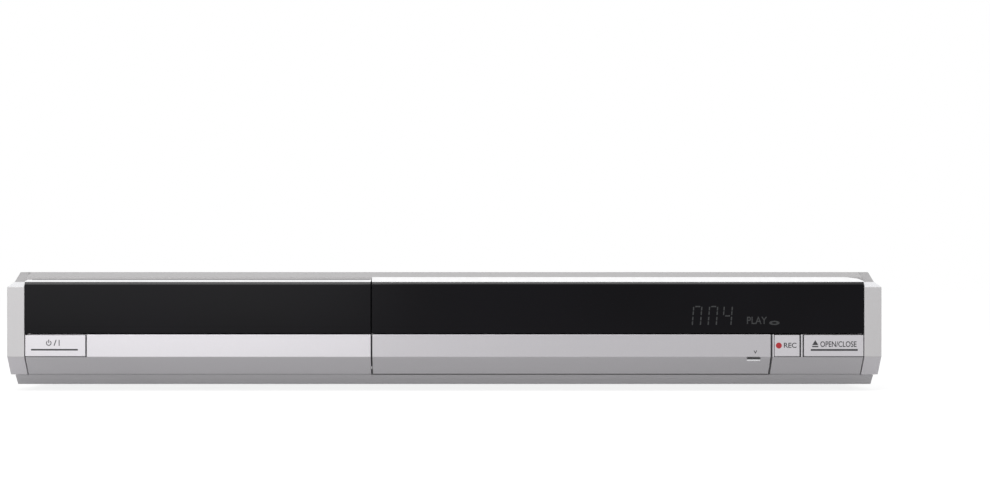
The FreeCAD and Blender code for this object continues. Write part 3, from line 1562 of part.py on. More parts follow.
def make_fan():
    """Square fan frame with a hub on four spokes, and the rotor with twisted blades."""
    x, z = "fan_x", "fan_z"
    ends = ("fan_y", "wall_y - tiny_gap")
    frame = body("fan_frame")
    block(frame, span(x, "fan_size"), ends, span(z, "fan_size"))
    bore(frame, "Y", (x, z), "fan_bore", past("fan_y", "wall_y"))
    inside = from_low("fan_y", "spoke_thick")
    block(frame, span(x, "fan_size"), inside, span(z, "spoke_width"))
    block(frame, span(x, "spoke_width"), inside, span(z, "fan_size"))
    rod(frame, "Y", (x, z), "fan_hub_radius", inside)
    rod(frame, "Y", (x, z), "post_radius", from_low("fan_y", "fan_spindle"))
    shape("fan_rotor", fan_rotor())


def fan_rotor():
    """Hub and blades, with the bore that runs on the frame's spindle."""
    centre = Vector(value("fan_x"), value("fan_y + spoke_thick + fit_gap"), value("fan_z"))
    depth, hub = value("fan_hub_depth"), value("fan_hub_radius")
    along = Vector(0, 1, 0)
    solid = Part.makeCylinder(hub, depth, centre, along)
    blades, pitch_angle = count("fan_blades"), value("fan_pitch_angle")
    thick, tip = value("fan_blade_thick"), value("fan_blade_radius")
    chord = value("fan_blade_depth") / math.cos(math.radians(pitch_angle))
    for index in range(blades):
        blade = Part.makeBox(thick, chord, tip, Vector(-thick / 2, -chord / 2, hub / 2))
        blade.rotate(Vector(), Vector(0, 0, 1), pitch_angle)
        blade.rotate(Vector(), along, math.degrees(2 * math.pi) * index / blades)
        blade.translate(centre + Vector(0, depth / 2, 0))
        solid = solid.fuse(blade)
    solid = solid.common(Part.makeCylinder(tip, depth, centre, along))
    # The bore is a little deeper than the spindle reaches
    spare = value("fit_gap")
    hole = Part.makeCylinder(value("post_radius + running_gap"), value("fan_spindle - spoke_thick") + spare,
                             centre - spare * along, along)
    return solid.cut(hole).removeSplitter()


def make_scart_sockets():
    """SCART sockets: a shell with a groove round the core, and a foot on the board."""
    sockets = []
    for x in scart_spots():
        shell = box(span(x, "scart_width"), ("socket_y", "flange_y"), span("scart_z", "scart_height"))
        groove_ends = ("rear_y - scart_depth", "flange_y + overcut")
        inner = ("scart_width - 2 * scart_wall", "scart_height - 2 * scart_wall")
        core = [f"{width} - 2 * scart_groove" for width in inner]
        groove = less(box(span(x, inner[0]), groove_ends, span("scart_z", inner[1])),
                      box(span(x, core[0]), groove_ends, span("scart_z", core[1])))
        foot = box(span(x, "scart_width"), ("socket_y", "wall_y - fit_gap"), ("pcb_top", "scart_z"))
        sockets.append(less(fused(shell, foot), groove, *scart_slots(x)))
    group("scart_sockets", sockets)


def scart_slots(x):
    """Two rows of contact slots in a SCART socket's core."""
    slots = []
    for index in range(count("scart_slots")):
        place = f"{x} + ({index} - (scart_slots - 1) / 2) * scart_slot_pitch"
        for side in SIDES:
            slots.append(box(span(place, "scart_slot_width"),
                             ("flange_y - scart_slot_depth", "flange_y + overcut"),
                             span(f"scart_z + ({side}) * scart_row_rise", "scart_slot_height")))
    return slots


def make_phono_sockets():
    """Phono sockets in two rows, each pair joined by a post that stands on the board."""
    face, back = "wall_y - tiny_gap", "socket_y"
    solids = [phono_jack(x, z, face, back, 1) for x, z in phono_spots()]
    low, high = "floor_z + phono_low", "floor_z + phono_high"
    for x in phono_columns():
        for ends in (("pcb_top", f"{low} - ring_radius"), (f"{low} + ring_radius", f"{high} - ring_radius")):
            solids.append(box(span(x, "socket_foot_width"), (back, face), ends))
    group("phono_sockets", solids)


def make_digital_sockets():
    """Round video, optical and flat digital sockets, one over another, with the posts between."""
    face, back = "wall_y - tiny_gap", "socket_y"
    x = "digital_x"
    video_z, optical_z, hdmi_z = (f"floor_z + {rise}" for rise in
                                  ("rear_svideo_rise", "optical_rise", "hdmi_rise"))
    video = svideo_jack(x, video_z, face, back, "rear_svideo_reach", 1)
    optical = box(span(x, "optical_size"), (back, "flange_y"), span(optical_z, "optical_size"))
    shutter = box(span(x, "optical_size - 2 * optical_wall"),
                  ("flange_y - optical_depth", "flange_y + overcut"),
                  span(optical_z, "optical_size - 2 * optical_wall"))
    shell = box(span(x, "hdmi_width"), (back, "flange_y"), span(hdmi_z, "hdmi_height"))
    mouth = box(span(x, "hdmi_width - 2 * hdmi_wall"), ("flange_y - hdmi_depth", "flange_y + overcut"),
                span(hdmi_z, "hdmi_height - 2 * hdmi_wall"))
    tongue = box(span(x, "hdmi_tongue_width"),
                 ("flange_y - hdmi_depth - overcut", "flange_y - hdmi_tongue_set"),
                 span(hdmi_z, "hdmi_tongue_thick"))
    posts = [box(span(x, "socket_foot_width"), (back, "wall_y - fit_gap"), ends) for ends in (
        ("pcb_top", f"{hdmi_z} - hdmi_height / 2"),
        (f"{hdmi_z} + hdmi_height / 2", f"{optical_z} - optical_size / 2"),
        (f"{optical_z} + optical_size / 2", f"{video_z} - ring_radius"),
    )]
    group("digital_sockets", [video, less(optical, shutter), fused(less(shell, mouth), tongue)] + posts)


def make_inlet():
    """Two-pin mains inlet."""
    x, z = "inlet_x", "inlet_z"
    back, cavity_back = "wall_y - inlet_depth", "flange_y - inlet_cavity"
    shell = box(span(x, "inlet_width"), (back, "flange_y"), span(z, "inlet_height"))
    cavity = box(span(x, "inlet_width - 2 * inlet_wall"), (cavity_back, "flange_y + overcut"),
                 span(z, "inlet_height - 2 * inlet_wall"))
    pins = [round_bar("Y", (f"{x} + ({side}) * inlet_pin_spread", z), "inlet_pin_radius",
                      from_low(f"{cavity_back} - inlet_pin_root", "inlet_pin_length"))
            for side in SIDES]
    foot = box(span(x, "inlet_foot_width"), (back, "wall_y - fit_gap"),
               ("pcb_top", f"{z} - inlet_height / 2"))
    group("mains_inlet", [fused(less(shell, cavity), *pins, foot)])


def make_cables():
    """Flat cables between the units, each with the plug at its far end."""
    cables = []
    routes = [
        ("disk_x + disk_width + front_cable_gap", "front_cable_width", "board_y + board_thick",
         "small_button_z"),
        ("disk_x + disk_cable_set", "disk_cable_width", "disk_y + disk_length", "disk_z + cable_rise"),
        ("drive_x - drive_cable_width / 2", "drive_cable_width", "drive_end", "drive_z + cable_rise"),
    ]
    low, low_top = "floor_z + fit_gap", "floor_z + fit_gap + cable_thick"
    plug_y, plug_middle, plug_top = "main_y - fit_gap", "main_y + plug_depth / 2", "pcb_top + plug_height"
    for low_x, width, start, rise in routes:
        piece = plain_body("cable")
        drop = f"{start} + plug_depth / 2"
        prism(piece, "X", [
            (start, rise),
            (start, f"{rise} + cable_thick"),
            (drop, f"{rise} + cable_thick"),
            (drop, low_top),
            (f"{plug_y} - cable_thick", low_top),
            (f"{plug_y} - cable_thick", plug_top),
            (plug_middle, plug_top),
            (plug_middle, f"{plug_top} - cable_thick"),
            (plug_y, f"{plug_top} - cable_thick"),
            (plug_y, low),
            (f"{drop} - cable_thick", low),
            (f"{drop} - cable_thick", rise),
        ], from_low(low_x, width))
        block(piece, from_low(low_x, width), from_low("main_y", "plug_depth"),
              ("pcb_top", f"{plug_top} - cable_thick"))
        cables.append(piece)
    group("ribbon_cables", cables)


def check_objects():
    """Stop if any object failed or any sub-part is empty, broken or without its own name."""
    faults = [thing.Name for thing in document.Objects
              if "Invalid" in thing.State or "Error" in thing.State]
    faults += [piece.Label for piece in pieces if piece.Shape.isNull() or not piece.Shape.isValid()]
    faults += [piece.Label for piece in pieces if not piece.Shape.Solids]
    if faults:
        raise RuntimeError("These objects failed: " + ", ".join(faults))


def write_parts():
    os.makedirs("parts", exist_ok=True)
    for piece in pieces:
        piece.Shape.exportStep(os.path.join("parts", piece.Label + ".step"))
    print(len(pieces), "sub-parts written")


fill_sheets()
make_front_bezel()
make_end_cap("left_end_cap", -1)
make_end_cap("right_end_cap", 1)
make_window()
make_tray_fascia()
make_front_buttons()
make_small_buttons()
make_flap_door()
make_hinge_pins()
make_jack_panel()
make_front_jacks()
make_front_boards()
make_bottom_chassis()
make_feet()
make_rear_panel()
make_top_cover()
make_case_screws()
make_drive_frame()
make_drive_lid()
make_clamper()
make_disc_tray()
make_loading_gear()
make_loading_motor()
make_lift_slider()
make_traverse()
make_pickup()
make_hard_disk()
make_boards()
make_power_parts()
make_tuner()
make_fan()
make_scart_sockets()
make_phono_sockets()
make_digital_sockets()
make_inlet()
make_cables()
document.recompute()
check_objects()
write_parts()
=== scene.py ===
"""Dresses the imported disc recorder: finishes, softened edges, printed marks, light and camera."""
import json
import math

import bmesh
import bpy
from mathutils import Matrix, Vector


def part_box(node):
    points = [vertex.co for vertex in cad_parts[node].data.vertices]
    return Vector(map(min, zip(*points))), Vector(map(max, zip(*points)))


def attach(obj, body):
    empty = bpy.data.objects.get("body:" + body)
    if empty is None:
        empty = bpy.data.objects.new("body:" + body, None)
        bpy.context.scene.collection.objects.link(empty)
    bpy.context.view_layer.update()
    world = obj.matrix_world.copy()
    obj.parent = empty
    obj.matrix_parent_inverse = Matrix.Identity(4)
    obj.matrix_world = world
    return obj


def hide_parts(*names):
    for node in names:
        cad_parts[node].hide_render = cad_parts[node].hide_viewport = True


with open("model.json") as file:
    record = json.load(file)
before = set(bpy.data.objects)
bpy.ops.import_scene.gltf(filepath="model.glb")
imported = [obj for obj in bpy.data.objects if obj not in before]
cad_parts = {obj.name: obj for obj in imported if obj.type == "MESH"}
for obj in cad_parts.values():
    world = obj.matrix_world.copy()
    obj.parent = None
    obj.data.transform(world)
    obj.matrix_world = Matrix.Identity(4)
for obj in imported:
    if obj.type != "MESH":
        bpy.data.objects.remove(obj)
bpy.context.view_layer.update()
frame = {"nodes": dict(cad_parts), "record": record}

# The object's sizes are in millimetres, and MM turns them into metres
MM = 0.001

# Meshes: what counts as one corner, as flat, as smooth and as an edge to round. An edge is rounded
# only where the edges it meets are longer than BEVEL_ROOM times the width
MERGE_DISTANCE = 0.002
FLAT_ANGLE = math.radians(0.6)
SMOOTH_ANGLE = math.radians(35)
EDGE_ANGLE = math.radians(38)
BEVEL_ROOM = 2.5
BEVEL_SEGMENTS = 3

record = frame["record"]
node_body = {node: body for body, nodes in record["behaviour"]["bodies"].items() for node in nodes}
node_slot = {part["node"]: part["material_slot"] for part in record["subparts"]}
mount_spot = {mount["name"]: Vector(mount["pos_m"]) for mount in record["mounts"]}


def low(node, axis):
    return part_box(node)[0]["xyz".index(axis)] / MM


def high(node, axis):
    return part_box(node)[1]["xyz".index(axis)] / MM


def middle(node, axis):
    return (low(node, axis) + high(node, axis)) / 2


front = low("front_bezel", "y")


# Finishes

GRAIN_LOW, GRAIN_HIGH, GRAIN_DETAIL = 0.3, 0.7, 3


def new_finish(name, roughness, metallic=0.0, specular=0.5, coat=0.0):
    """A material with its even values set on the shader's own sockets."""
    material = bpy.data.materials.new(name)
    material.use_nodes = True
    inputs = material.node_tree.nodes["Principled BSDF"].inputs
    inputs["Roughness"].default_value = roughness
    inputs["Metallic"].default_value = metallic
    inputs["Specular IOR Level"].default_value = specular
    inputs["Coat Weight"].default_value = coat
    return material


def object_pattern(material, kind, stretch=(1, 1, 1)):
    """A texture node of that kind that reads object coordinates, stretched along each axis."""
    nodes, links = material.node_tree.nodes, material.node_tree.links
    place = nodes.new("ShaderNodeTexCoord")
    mapping = nodes.new("ShaderNodeMapping")
    mapping.inputs["Scale"].default_value = stretch
    pattern = nodes.new(kind)
    links.new(place.outputs["Object"], mapping.inputs["Vector"])
    links.new(mapping.outputs["Vector"], pattern.inputs["Vector"])
    return pattern


def noise(material, cell, stretch=(1, 1, 1)):
    """Noise with cells of that size."""
    pattern = object_pattern(material, "ShaderNodeTexNoise", stretch)
    pattern.inputs["Scale"].default_value = 1 / (cell * MM)
    pattern.inputs["Detail"].default_value = GRAIN_DETAIL
    return pattern.outputs["Fac"]


def colour_between(material, factor, first, second, start=0.35, end=0.65):
    """Colours the material from first to second as factor goes from start to end."""
    nodes, links = material.node_tree.nodes, material.node_tree.links
    ramp = nodes.new("ShaderNodeValToRGB")
    for element, position, colour in zip(ramp.color_ramp.elements, (start, end), (first, second)):
        element.position = position
        element.color = (*colour, 1)
    links.new(factor, ramp.inputs["Fac"])
    links.new(ramp.outputs["Color"], nodes["Principled BSDF"].inputs["Base Color"])


def roughness_between(material, factor, smooth, rough):
    """Varies the roughness from smooth to rough with the grain."""
    nodes, links = material.node_tree.nodes, material.node_tree.links
    spread = nodes.new("ShaderNodeMapRange")
    spread.inputs["From Min"].default_value = GRAIN_LOW
    spread.inputs["From Max"].default_value = GRAIN_HIGH
    spread.inputs["To Min"].default_value = smooth
    spread.inputs["To Max"].default_value = rough
    links.new(factor, spread.inputs["Value"])
    links.new(spread.outputs["Result"], nodes["Principled BSDF"].inputs["Roughness"])


def relief(material, factor, depth):
    nodes, links = material.node_tree.nodes, material.node_tree.links
    bump = nodes.new("ShaderNodeBump")
    bump.inputs["Distance"].default_value = depth * MM
    links.new(factor, bump.inputs["Height"])
    links.new(bump.outputs["Normal"], nodes["Principled BSDF"].inputs["Normal"])


def shade(colour, amount):
    return tuple(min(1, channel * amount) for channel in colour)


def surface(name, colour, roughness, metallic=0.0, specular=0.5, cell=0.8, stretch=(1, 1, 1),
            tone=0.04, gloss=0.04, depth=0.0):
    """A finish with one grain in its colour, its gloss and its relief.

    tone and gloss say how much the colour and the roughness vary, depth how deep the relief is.
    """
    material = new_finish(name, roughness, metallic, specular)
    grain = noise(material, cell, stretch)
    colour_between(material, grain, shade(colour, 1 - tone), shade(colour, 1 + tone))
    roughness_between(material, grain, roughness - gloss, roughness + gloss)
    if depth:
        relief(material, grain, depth)
    return material


def silver(name, colour, roughness, metallic=0.0, tone=0.05, gloss=0.05):
    """Painted plastic with the fine grain of the front."""
    return surface(name, colour, roughness, metallic=metallic, cell=0.12, tone=tone, gloss=gloss,
                   depth=0.002)


TRACK_SPACING, TRACK_WIDTH = 9, 0.06
MASK_GREEN, OTHER_MASK_GREEN = (0.012, 0.075, 0.03, 1), (0.016, 0.1, 0.04, 1)
TRACK_GREEN = (0.05, 0.2, 0.09, 1)


def board_finish(name):
    """Green solder mask with the paler lines of the tracks under it."""
    material = new_finish(name, 0.4, coat=0.2)
    tracks = object_pattern(material, "ShaderNodeTexBrick")
    tracks.inputs["Scale"].default_value = 1 / (TRACK_SPACING * MM)
    tracks.inputs["Mortar Size"].default_value = TRACK_WIDTH
    tracks.inputs["Color1"].default_value = MASK_GREEN
    tracks.inputs["Color2"].default_value = OTHER_MASK_GREEN
    tracks.inputs["Mortar"].default_value = TRACK_GREEN
    links, nodes = material.node_tree.links, material.node_tree.nodes
    links.new(tracks.outputs["Color"], nodes["Principled BSDF"].inputs["Base Color"])
    roughness_between(material, noise(material, cell=0.6), smooth=0.32, rough=0.48)
    return material


RIBBON_LINE = 1.27
RIBBON_DARK, RIBBON_PALE = (0.28, 0.28, 0.27), (0.72, 0.72, 0.7)


def ribbon_finish(name):
    """Pale flat cable with a darker line between its conductors."""
    material = new_finish(name, 0.45)
    lines = object_pattern(material, "ShaderNodeTexWave", stretch=(1, 0, 0))
    lines.inputs["Scale"].default_value = 1 / (2 * math.pi * RIBBON_LINE * MM)
    colour_between(material, lines.outputs["Fac"], RIBBON_DARK, RIBBON_PALE, start=0.05, end=0.3)
    roughness_between(material, noise(material, cell=1.5), smooth=0.38, rough=0.52)
    return material


HAZE_TONE = 0.1


def glass_finish(name, colour, transmission):
    """Coated glass with a faint haze."""
    material = new_finish(name, 0.04, coat=0.6)
    inputs = material.node_tree.nodes["Principled BSDF"].inputs
    inputs["Transmission Weight"].default_value = transmission
    haze = noise(material, cell=2.0)
    colour_between(material, haze, shade(colour, 1 - HAZE_TONE), shade(colour, 1 + HAZE_TONE))
    roughness_between(material, haze, smooth=0.02, rough=0.08)
    return material


BRUSHED_X, TAPE_WOUND, SHEETS_STACKED = (0.02, 1, 1), (0.15, 1, 1), (1, 1, 8)

finishes = {
    "silver_plastic": silver("silver_plastic", (0.6, 0.585, 0.61), 0.4, metallic=0.15),
    "bright_trim": surface("bright_trim", (0.97, 0.97, 0.98), 0.12, metallic=1.0, cell=3.0,
                           tone=0.02),
    "gloss_black": surface("gloss_black", (0.0034, 0.003, 0.0044), 0.22, specular=0.08, cell=60,
                           tone=0.15, gloss=0.02),
    "painted_steel": surface("painted_steel", (0.5, 0.5, 0.515), 0.42, metallic=0.2, cell=0.35,
                             tone=0.05, gloss=0.06, depth=0.012),
    "zinc_steel": surface("zinc_steel", (0.5, 0.51, 0.52), 0.4, metallic=0.8, cell=0.5,
                          stretch=BRUSHED_X, tone=0.05, gloss=0.05, depth=0.001),
    "bright_steel": surface("bright_steel", (0.66, 0.66, 0.67), 0.22, metallic=1.0, cell=0.5,
                            tone=0.06),
    "dark_plastic": surface("dark_plastic", (0.022, 0.022, 0.024), 0.5, cell=0.25, tone=0.2,
                            gloss=0.08, depth=0.006),
    "small_button_plastic": surface("small_button_plastic", (0.3, 0.3, 0.315), 0.38, metallic=0.2,
                                    cell=0.15, depth=0.002),
    "gear_plastic": surface("gear_plastic", (0.72, 0.69, 0.6), 0.35, cell=1.5, tone=0.03,
                            depth=0.002),
    "belt_rubber": surface("belt_rubber", (0.014, 0.014, 0.014), 0.75, cell=0.3, tone=0.2,
                           depth=0.01),
    "foot_rubber": surface("foot_rubber", (0.02, 0.02, 0.021), 0.7, cell=0.4, tone=0.2,
                           depth=0.015),
    "circuit_board": board_finish("circuit_board"),
    "cable_sheath": ribbon_finish("cable_sheath"),
    "display_glass": glass_finish("display_glass", (0.05, 0.06, 0.06), transmission=0.2),
    "lens_glass": glass_finish("lens_glass", (0.55, 0.6, 0.8), transmission=0.85),
    "cast_aluminium": surface("cast_aluminium", (0.5, 0.51, 0.52), 0.42, metallic=0.9, cell=0.7,
                              tone=0.08, gloss=0.08, depth=0.012),
    "transformer_tape": surface("transformer_tape", (0.62, 0.45, 0.06), 0.3, cell=2.5,
                                stretch=TAPE_WOUND, tone=0.08, depth=0.004),
}

# Finishes for a part of a piece, for the printed marks, and for painted shade and painted highlight
# Silver of the crown, the caps' shoulders and the tray trim's top, darker than the front's silver:
# painted shade on faces that look up
crown_shaded_silver = silver("crown_shaded_silver", (0.425, 0.416, 0.42), 0.42, metallic=0.15, gloss=0.04)
band_silver = silver("band_silver", (0.6, 0.583, 0.61), 0.36, metallic=0.4)
# A darker copy of the band's silver for the flap door's front: painted shade
flap_shaded_silver = silver("flap_shaded_silver", (0.5, 0.486, 0.508), 0.36, metallic=0.4)
cap_silver = silver("cap_silver", (0.635, 0.622, 0.63), 0.45, tone=0.04)
# A brighter, more reflective copy of the gloss black for the covers' rounded top edge: painted
# highlight
crest_painted_highlight = surface("crest_painted_highlight", (0.006, 0.0058, 0.007), 0.12, cell=60, tone=0.15, gloss=0.02)
nickel = surface("nickel_plate", (0.66, 0.64, 0.6), 0.2, metallic=1.0, tone=0.05)
capacitor_sleeve = surface("capacitor_sleeve", (0.015, 0.02, 0.05), 0.3, cell=1.0, tone=0.15)
core_steel = surface("core_steel", (0.2, 0.19, 0.18), 0.45, metallic=0.8, cell=1.0,
                     stretch=SHEETS_STACKED, tone=0.25, depth=0.01)
# Near black for the web behind the black covers and the screws' slots: painted shade
recess_painted_shade = surface("recess_painted_shade", (0.012, 0.012, 0.013), 0.6, cell=0.4, tone=0.2)
# Black for the printed marks, and for the painted shade in the gaps round the buttons, the flap
# door and the catch slot
print_and_shade_black = surface("print_and_shade_black", (0.03, 0.03, 0.034), 0.5, cell=0.3, tone=0.1)
# Grey for the thin lines of painted shade along the tray trim's top and under the chin
gap_shade_grey = surface("gap_shade_grey", (0.16, 0.16, 0.17), 0.5, cell=0.3, tone=0.08)
print_white = surface("print_white", (0.72, 0.72, 0.72), 0.5, cell=0.3, tone=0.04)
print_red = surface("print_red", (0.44, 0.018, 0.026), 0.42, cell=0.3, tone=0.08)
lit_grey = surface("display_marks", (0.046, 0.047, 0.049), 0.5, specular=0.2, cell=0.6, tone=0.1)
# Near-white silver for the caps' step and the lip under the flap's catch: painted highlight
painted_highlight_silver = surface("painted_highlight_silver", (0.84, 0.84, 0.86), 0.25, metallic=0.6, cell=0.6, tone=0.03)
ring_yellow = surface("ring_yellow", (0.75, 0.5, 0.02), 0.4, cell=0.6, tone=0.05)
ring_white = surface("ring_white", (0.75, 0.75, 0.72), 0.4, cell=0.6, tone=0.03)
ring_red = surface("ring_red", (0.55, 0.015, 0.02), 0.4, cell=0.6, tone=0.06)


# Pieces

def finish_nodes():
    """Gives each node of the frame the finish of its slot."""
    for node, slot in node_slot.items():
        slots = frame["nodes"][node].data.materials
        slots.clear()
        slots.append(finishes[slot])


def add_piece(name, mesh, looks, body, slot):
    """Ends a piece: its object at the origin, its finishes and its body. The slot is not used."""
    data = bpy.data.meshes.new(name)
    mesh.to_mesh(data)
    mesh.free()
    for look in looks:
        data.materials.append(look)
    made = bpy.data.objects.new(name, data)
    bpy.context.collection.objects.link(made)
    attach(made, body)
    return made


def dress(node, width=0, painted=(), crest=0, split=None):
    """Stands in for a node with the same solid, its long edges rounded to width.

    crest is the rounding of its top front edge. split is a height at which its faces are cut, so
    that they can take two finishes. painted gives (finish, test) pairs: a face whose middle and
    normal pass the test takes that finish, and a later pair wins.
    """
    mesh = bmesh.new()
    mesh.from_mesh(frame["nodes"][node].data)
    bmesh.ops.remove_doubles(mesh, verts=mesh.verts, dist=MERGE_DISTANCE * MM)
    if width:
        bmesh.ops.dissolve_limit(mesh, angle_limit=FLAT_ANGLE, verts=mesh.verts, edges=mesh.edges)
        if crest:
            corner = Vector((0, low(node, "y"), high(node, "z"))) * MM
            round_edges(mesh, crest, [edge for edge in mesh.edges if all(
                (end.co - corner).yz.length < MERGE_DISTANCE * MM for end in edge.verts)])
        round_edges(mesh, width, [edge for edge in mesh.edges if is_long_corner(edge, width)])
    if split:
        everything = [*mesh.verts, *mesh.edges, *mesh.faces]
        bmesh.ops.bisect_plane(mesh, geom=everything, dist=MERGE_DISTANCE * MM,
                               plane_co=(0, 0, split * MM), plane_no=(0, 0, 1))
    looks = [finishes[node_slot[node]]]
    mesh.normal_update()
    for look, test in painted:
        looks.append(look)
        for face in mesh.faces:
            if test(face.calc_center_median() / MM, face.normal):
                face.material_index = len(looks) - 1
    made = add_piece(f"{node}_dressed", mesh, looks, node_body[node], node_slot[node])
    made.data.polygons.foreach_set("use_smooth", [True] * len(made.data.polygons))
    made.data.set_sharp_from_angle(angle=SMOOTH_ANGLE)
    weighted = made.modifiers.new("even_shading", "WEIGHTED_NORMAL")
    weighted.keep_sharp = True
    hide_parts(node)


def is_long_corner(edge, width):
    """Whether an edge is sharp and has room for a rounding of that width."""
    room = BEVEL_ROOM * width * MM
    return (edge.is_manifold and edge.calc_face_angle(0) > EDGE_ANGLE
            and all(near.calc_length() > room for end in edge.verts for near in end.link_edges))


def round_edges(mesh, width, edges):
    if edges:
        bmesh.ops.bevel(mesh, geom=edges, offset=width * MM, offset_type="OFFSET",
                        segments=BEVEL_SEGMENTS, profile=0.5, affect="EDGES", material=-1)


def near_axis(spots, radius, start=-math.inf, end=math.inf):
    """A test for faces within radius of a line along Y through a spot, from start to end."""
    def test(spot, normal):
        return start <= spot.y <= end and any((spot - axis).xz.length <= radius for axis in spots)
    return test


# Flat marks on a face, as outlines in (x, z): print, painted shade and painted highlight

PRINT_HEIGHT = 0.04
PRINT_SLOT = "dark_plastic"
STROKE = 0.42
LETTER_WEIGHT = 0.012
LETTER_MERGE = 0.0002
ARC_STEPS, DISC_STEPS = 32, 40


def stamp(mesh, outline, face_y):
    """Raises a flat shape from the face at face_y, a function of z where the face slopes."""
    level = face_y if callable(face_y) else lambda z: face_y
    corners = [mesh.verts.new(Vector((x, level(z), z)) * MM) for x, z in outline]
    raised = bmesh.ops.extrude_face_region(mesh, geom=[mesh.faces.new(corners)])["geom"]
    moved = [item for item in raised if isinstance(item, bmesh.types.BMVert)]
    bmesh.ops.translate(mesh, verts=moved, vec=(0, -PRINT_HEIGHT * MM, 0))


def bar(left, right, bottom, top):
    return [(left, bottom), (right, bottom), (right, top), (left, top)]


def disc(x, z, radius):
    angles = [2 * math.pi * step / DISC_STEPS for step in range(DISC_STEPS)]
    return [(x + radius * math.cos(angle), z + radius * math.sin(angle)) for angle in angles]


def arc(x, z, radius, stroke, start, end, squash=1.0):
    """Outline of a ring's part, from the start to the end angle in degrees."""
    angles = [math.radians(start + (end - start) * step / ARC_STEPS)
              for step in range(ARC_STEPS + 1)]

    def rim(angle, reach):
        return x + reach * math.cos(angle), z + squash * reach * math.sin(angle)

    outer = [rim(angle, radius) for angle in angles]
    return outer + [rim(angle, radius - stroke) for angle in reversed(angles)]


def print_and_painted_light_marks(name, outlines, face_y, look, body, turn=0):
    """One piece of flat marks on a face of that body: print, and lines of painted shade and painted
    highlight.

    Marks are drawn as on the front and turned about Z by turn degrees: 180 puts them on the back,
    90 on the right.
    """
    mesh = bmesh.new()
    for outline in outlines:
        stamp(mesh, outline, face_y)
    bmesh.ops.recalc_face_normals(mesh, faces=mesh.faces)
    turned = Matrix.Rotation(math.radians(turn), 4, "Z")
    bmesh.ops.transform(mesh, matrix=turned, verts=mesh.verts)
    add_piece(name, mesh, [look], body, PRINT_SLOT)


def print_words(name, words, box, face_y, look, body, turn=0):
    """Flat lettering that fills box, (left, right, low, high), drawn and turned as marks are."""
    curve = bpy.data.curves.new(name, "FONT")
    curve.body = words
    curve.offset = LETTER_WEIGHT
    curve.extrude = 1
    text = bpy.data.objects.new(name, curve)
    bpy.context.collection.objects.link(text)
    data = bpy.data.meshes.new_from_object(text)
    bpy.data.objects.remove(text)
    mesh = bmesh.new()
    mesh.from_mesh(data)
    xs = [vert.co.x for vert in mesh.verts]
    ys = [vert.co.y for vert in mesh.verts]
    left, right, bottom, top = box
    wide = (right - left) / (max(xs) - min(xs)) * MM
    tall = (top - bottom) / (max(ys) - min(ys)) * MM
    deep = PRINT_HEIGHT / 2 * MM
    place = Matrix.Translation((left * MM - min(xs) * wide, (face_y - PRINT_HEIGHT / 2) * MM,
                                bottom * MM - min(ys) * tall))
    upright = Matrix.Rotation(math.radians(90), 4, "X")
    sized = Matrix.Diagonal((wide, tall, deep, 1))
    turned = Matrix.Rotation(math.radians(turn), 4, "Z")
    bmesh.ops.transform(mesh, matrix=turned @ place @ upright @ sized, verts=mesh.verts)
    bmesh.ops.remove_doubles(mesh, verts=mesh.verts, dist=LETTER_MERGE * MM)
    add_piece(name, mesh, [look], body, PRINT_SLOT)


# Tests for the faces that take a finish of their own, from a face's middle and its normal

SLANTED, STEEP, SQUARE = 0.2, 0.5, 0.9
RECESS_REACH, RECESS_START = 200, 1
TRIM_SPLIT = 55.25
SHOULDER_LOW = 54.5
CAP_STEP_LOW, CAP_STEP_HIGH = 51.7, 54.3


# Faces above the black covers, which take the crown's painted shade
def on_crown(spot, normal):
    return spot.z > high("tray_fascia", "z")


def in_recess(spot, normal):
    """The web and walls behind the black covers, which take painted shade."""
    level = low("tray_fascia", "z") < spot.z < high("tray_fascia", "z")
    behind = spot.y > front + RECESS_START and abs(spot.x) < RECESS_REACH
    return level and behind and abs(normal.z) < STEEP


# The covers' rounded top edge, which takes the painted highlight
def tilted_up(spot, normal):
    return normal.z > SLANTED and normal.y < -SLANTED


def on_band(spot, normal):
    return normal.y < -SQUARE and spot.z < low("window_trim", "z")


# The tray trim's upper faces, which take the crown's painted shade
def on_trim_top(spot, normal):
    return spot.z > TRIM_SPLIT


# The caps' faces above their shoulder, which take the crown's painted shade
def on_shoulder(spot, normal):
    return spot.z > SHOULDER_LOW


def anywhere(spot, normal):
    return True


def faces_down(spot, normal):
    return normal.z < -STEEP


# The caps' step faces that look up, which take painted highlight
def on_cap_highlight(spot, normal):
    return CAP_STEP_LOW < spot.z < CAP_STEP_HIGH and normal.z > STEEP


# The front and the case

SOFT_EDGES = {
    "window_trim": 0.12, "jack_panel": 0.15,
    "drive_select_button": 0.2, "channel_down_button": 0.2, "channel_up_button": 0.2,
    "stop_button": 0.2, "play_button": 0.2, "top_cover": 0.15, "disc_tray": 0.2,
}
FRONT_EDGE, TRIM_EDGE, CAP_EDGE, COVER_CREST = 0.25, 0.12, 0.35, 1.3


def dress_front():
    for node, width in SOFT_EDGES.items():
        dress(node, width)
    dress("front_bezel", FRONT_EDGE, split=high("tray_fascia", "z"), painted=[
        (band_silver, on_band), (recess_painted_shade, in_recess), (crown_shaded_silver, on_crown)])
    for button in ("power_button", "record_button", "open_close_button"):
        dress(button, FRONT_EDGE, painted=[(band_silver, on_band)])
    dress("flap_door", FRONT_EDGE, painted=[(flap_shaded_silver, on_band)])
    dress("tray_trim", TRIM_EDGE, split=TRIM_SPLIT, painted=[(crown_shaded_silver, on_trim_top)])
    for cap in ("left_end_cap", "right_end_cap"):
        dress(cap, CAP_EDGE, painted=[
            (cap_silver, anywhere), (crown_shaded_silver, on_shoulder), (band_silver, faces_down),
            (painted_highlight_silver, on_cap_highlight)])
    for cover in ("display_window", "tray_fascia"):
        dress(cover, FRONT_EDGE, painted=[(crest_painted_highlight, tilted_up)], crest=COVER_CREST)


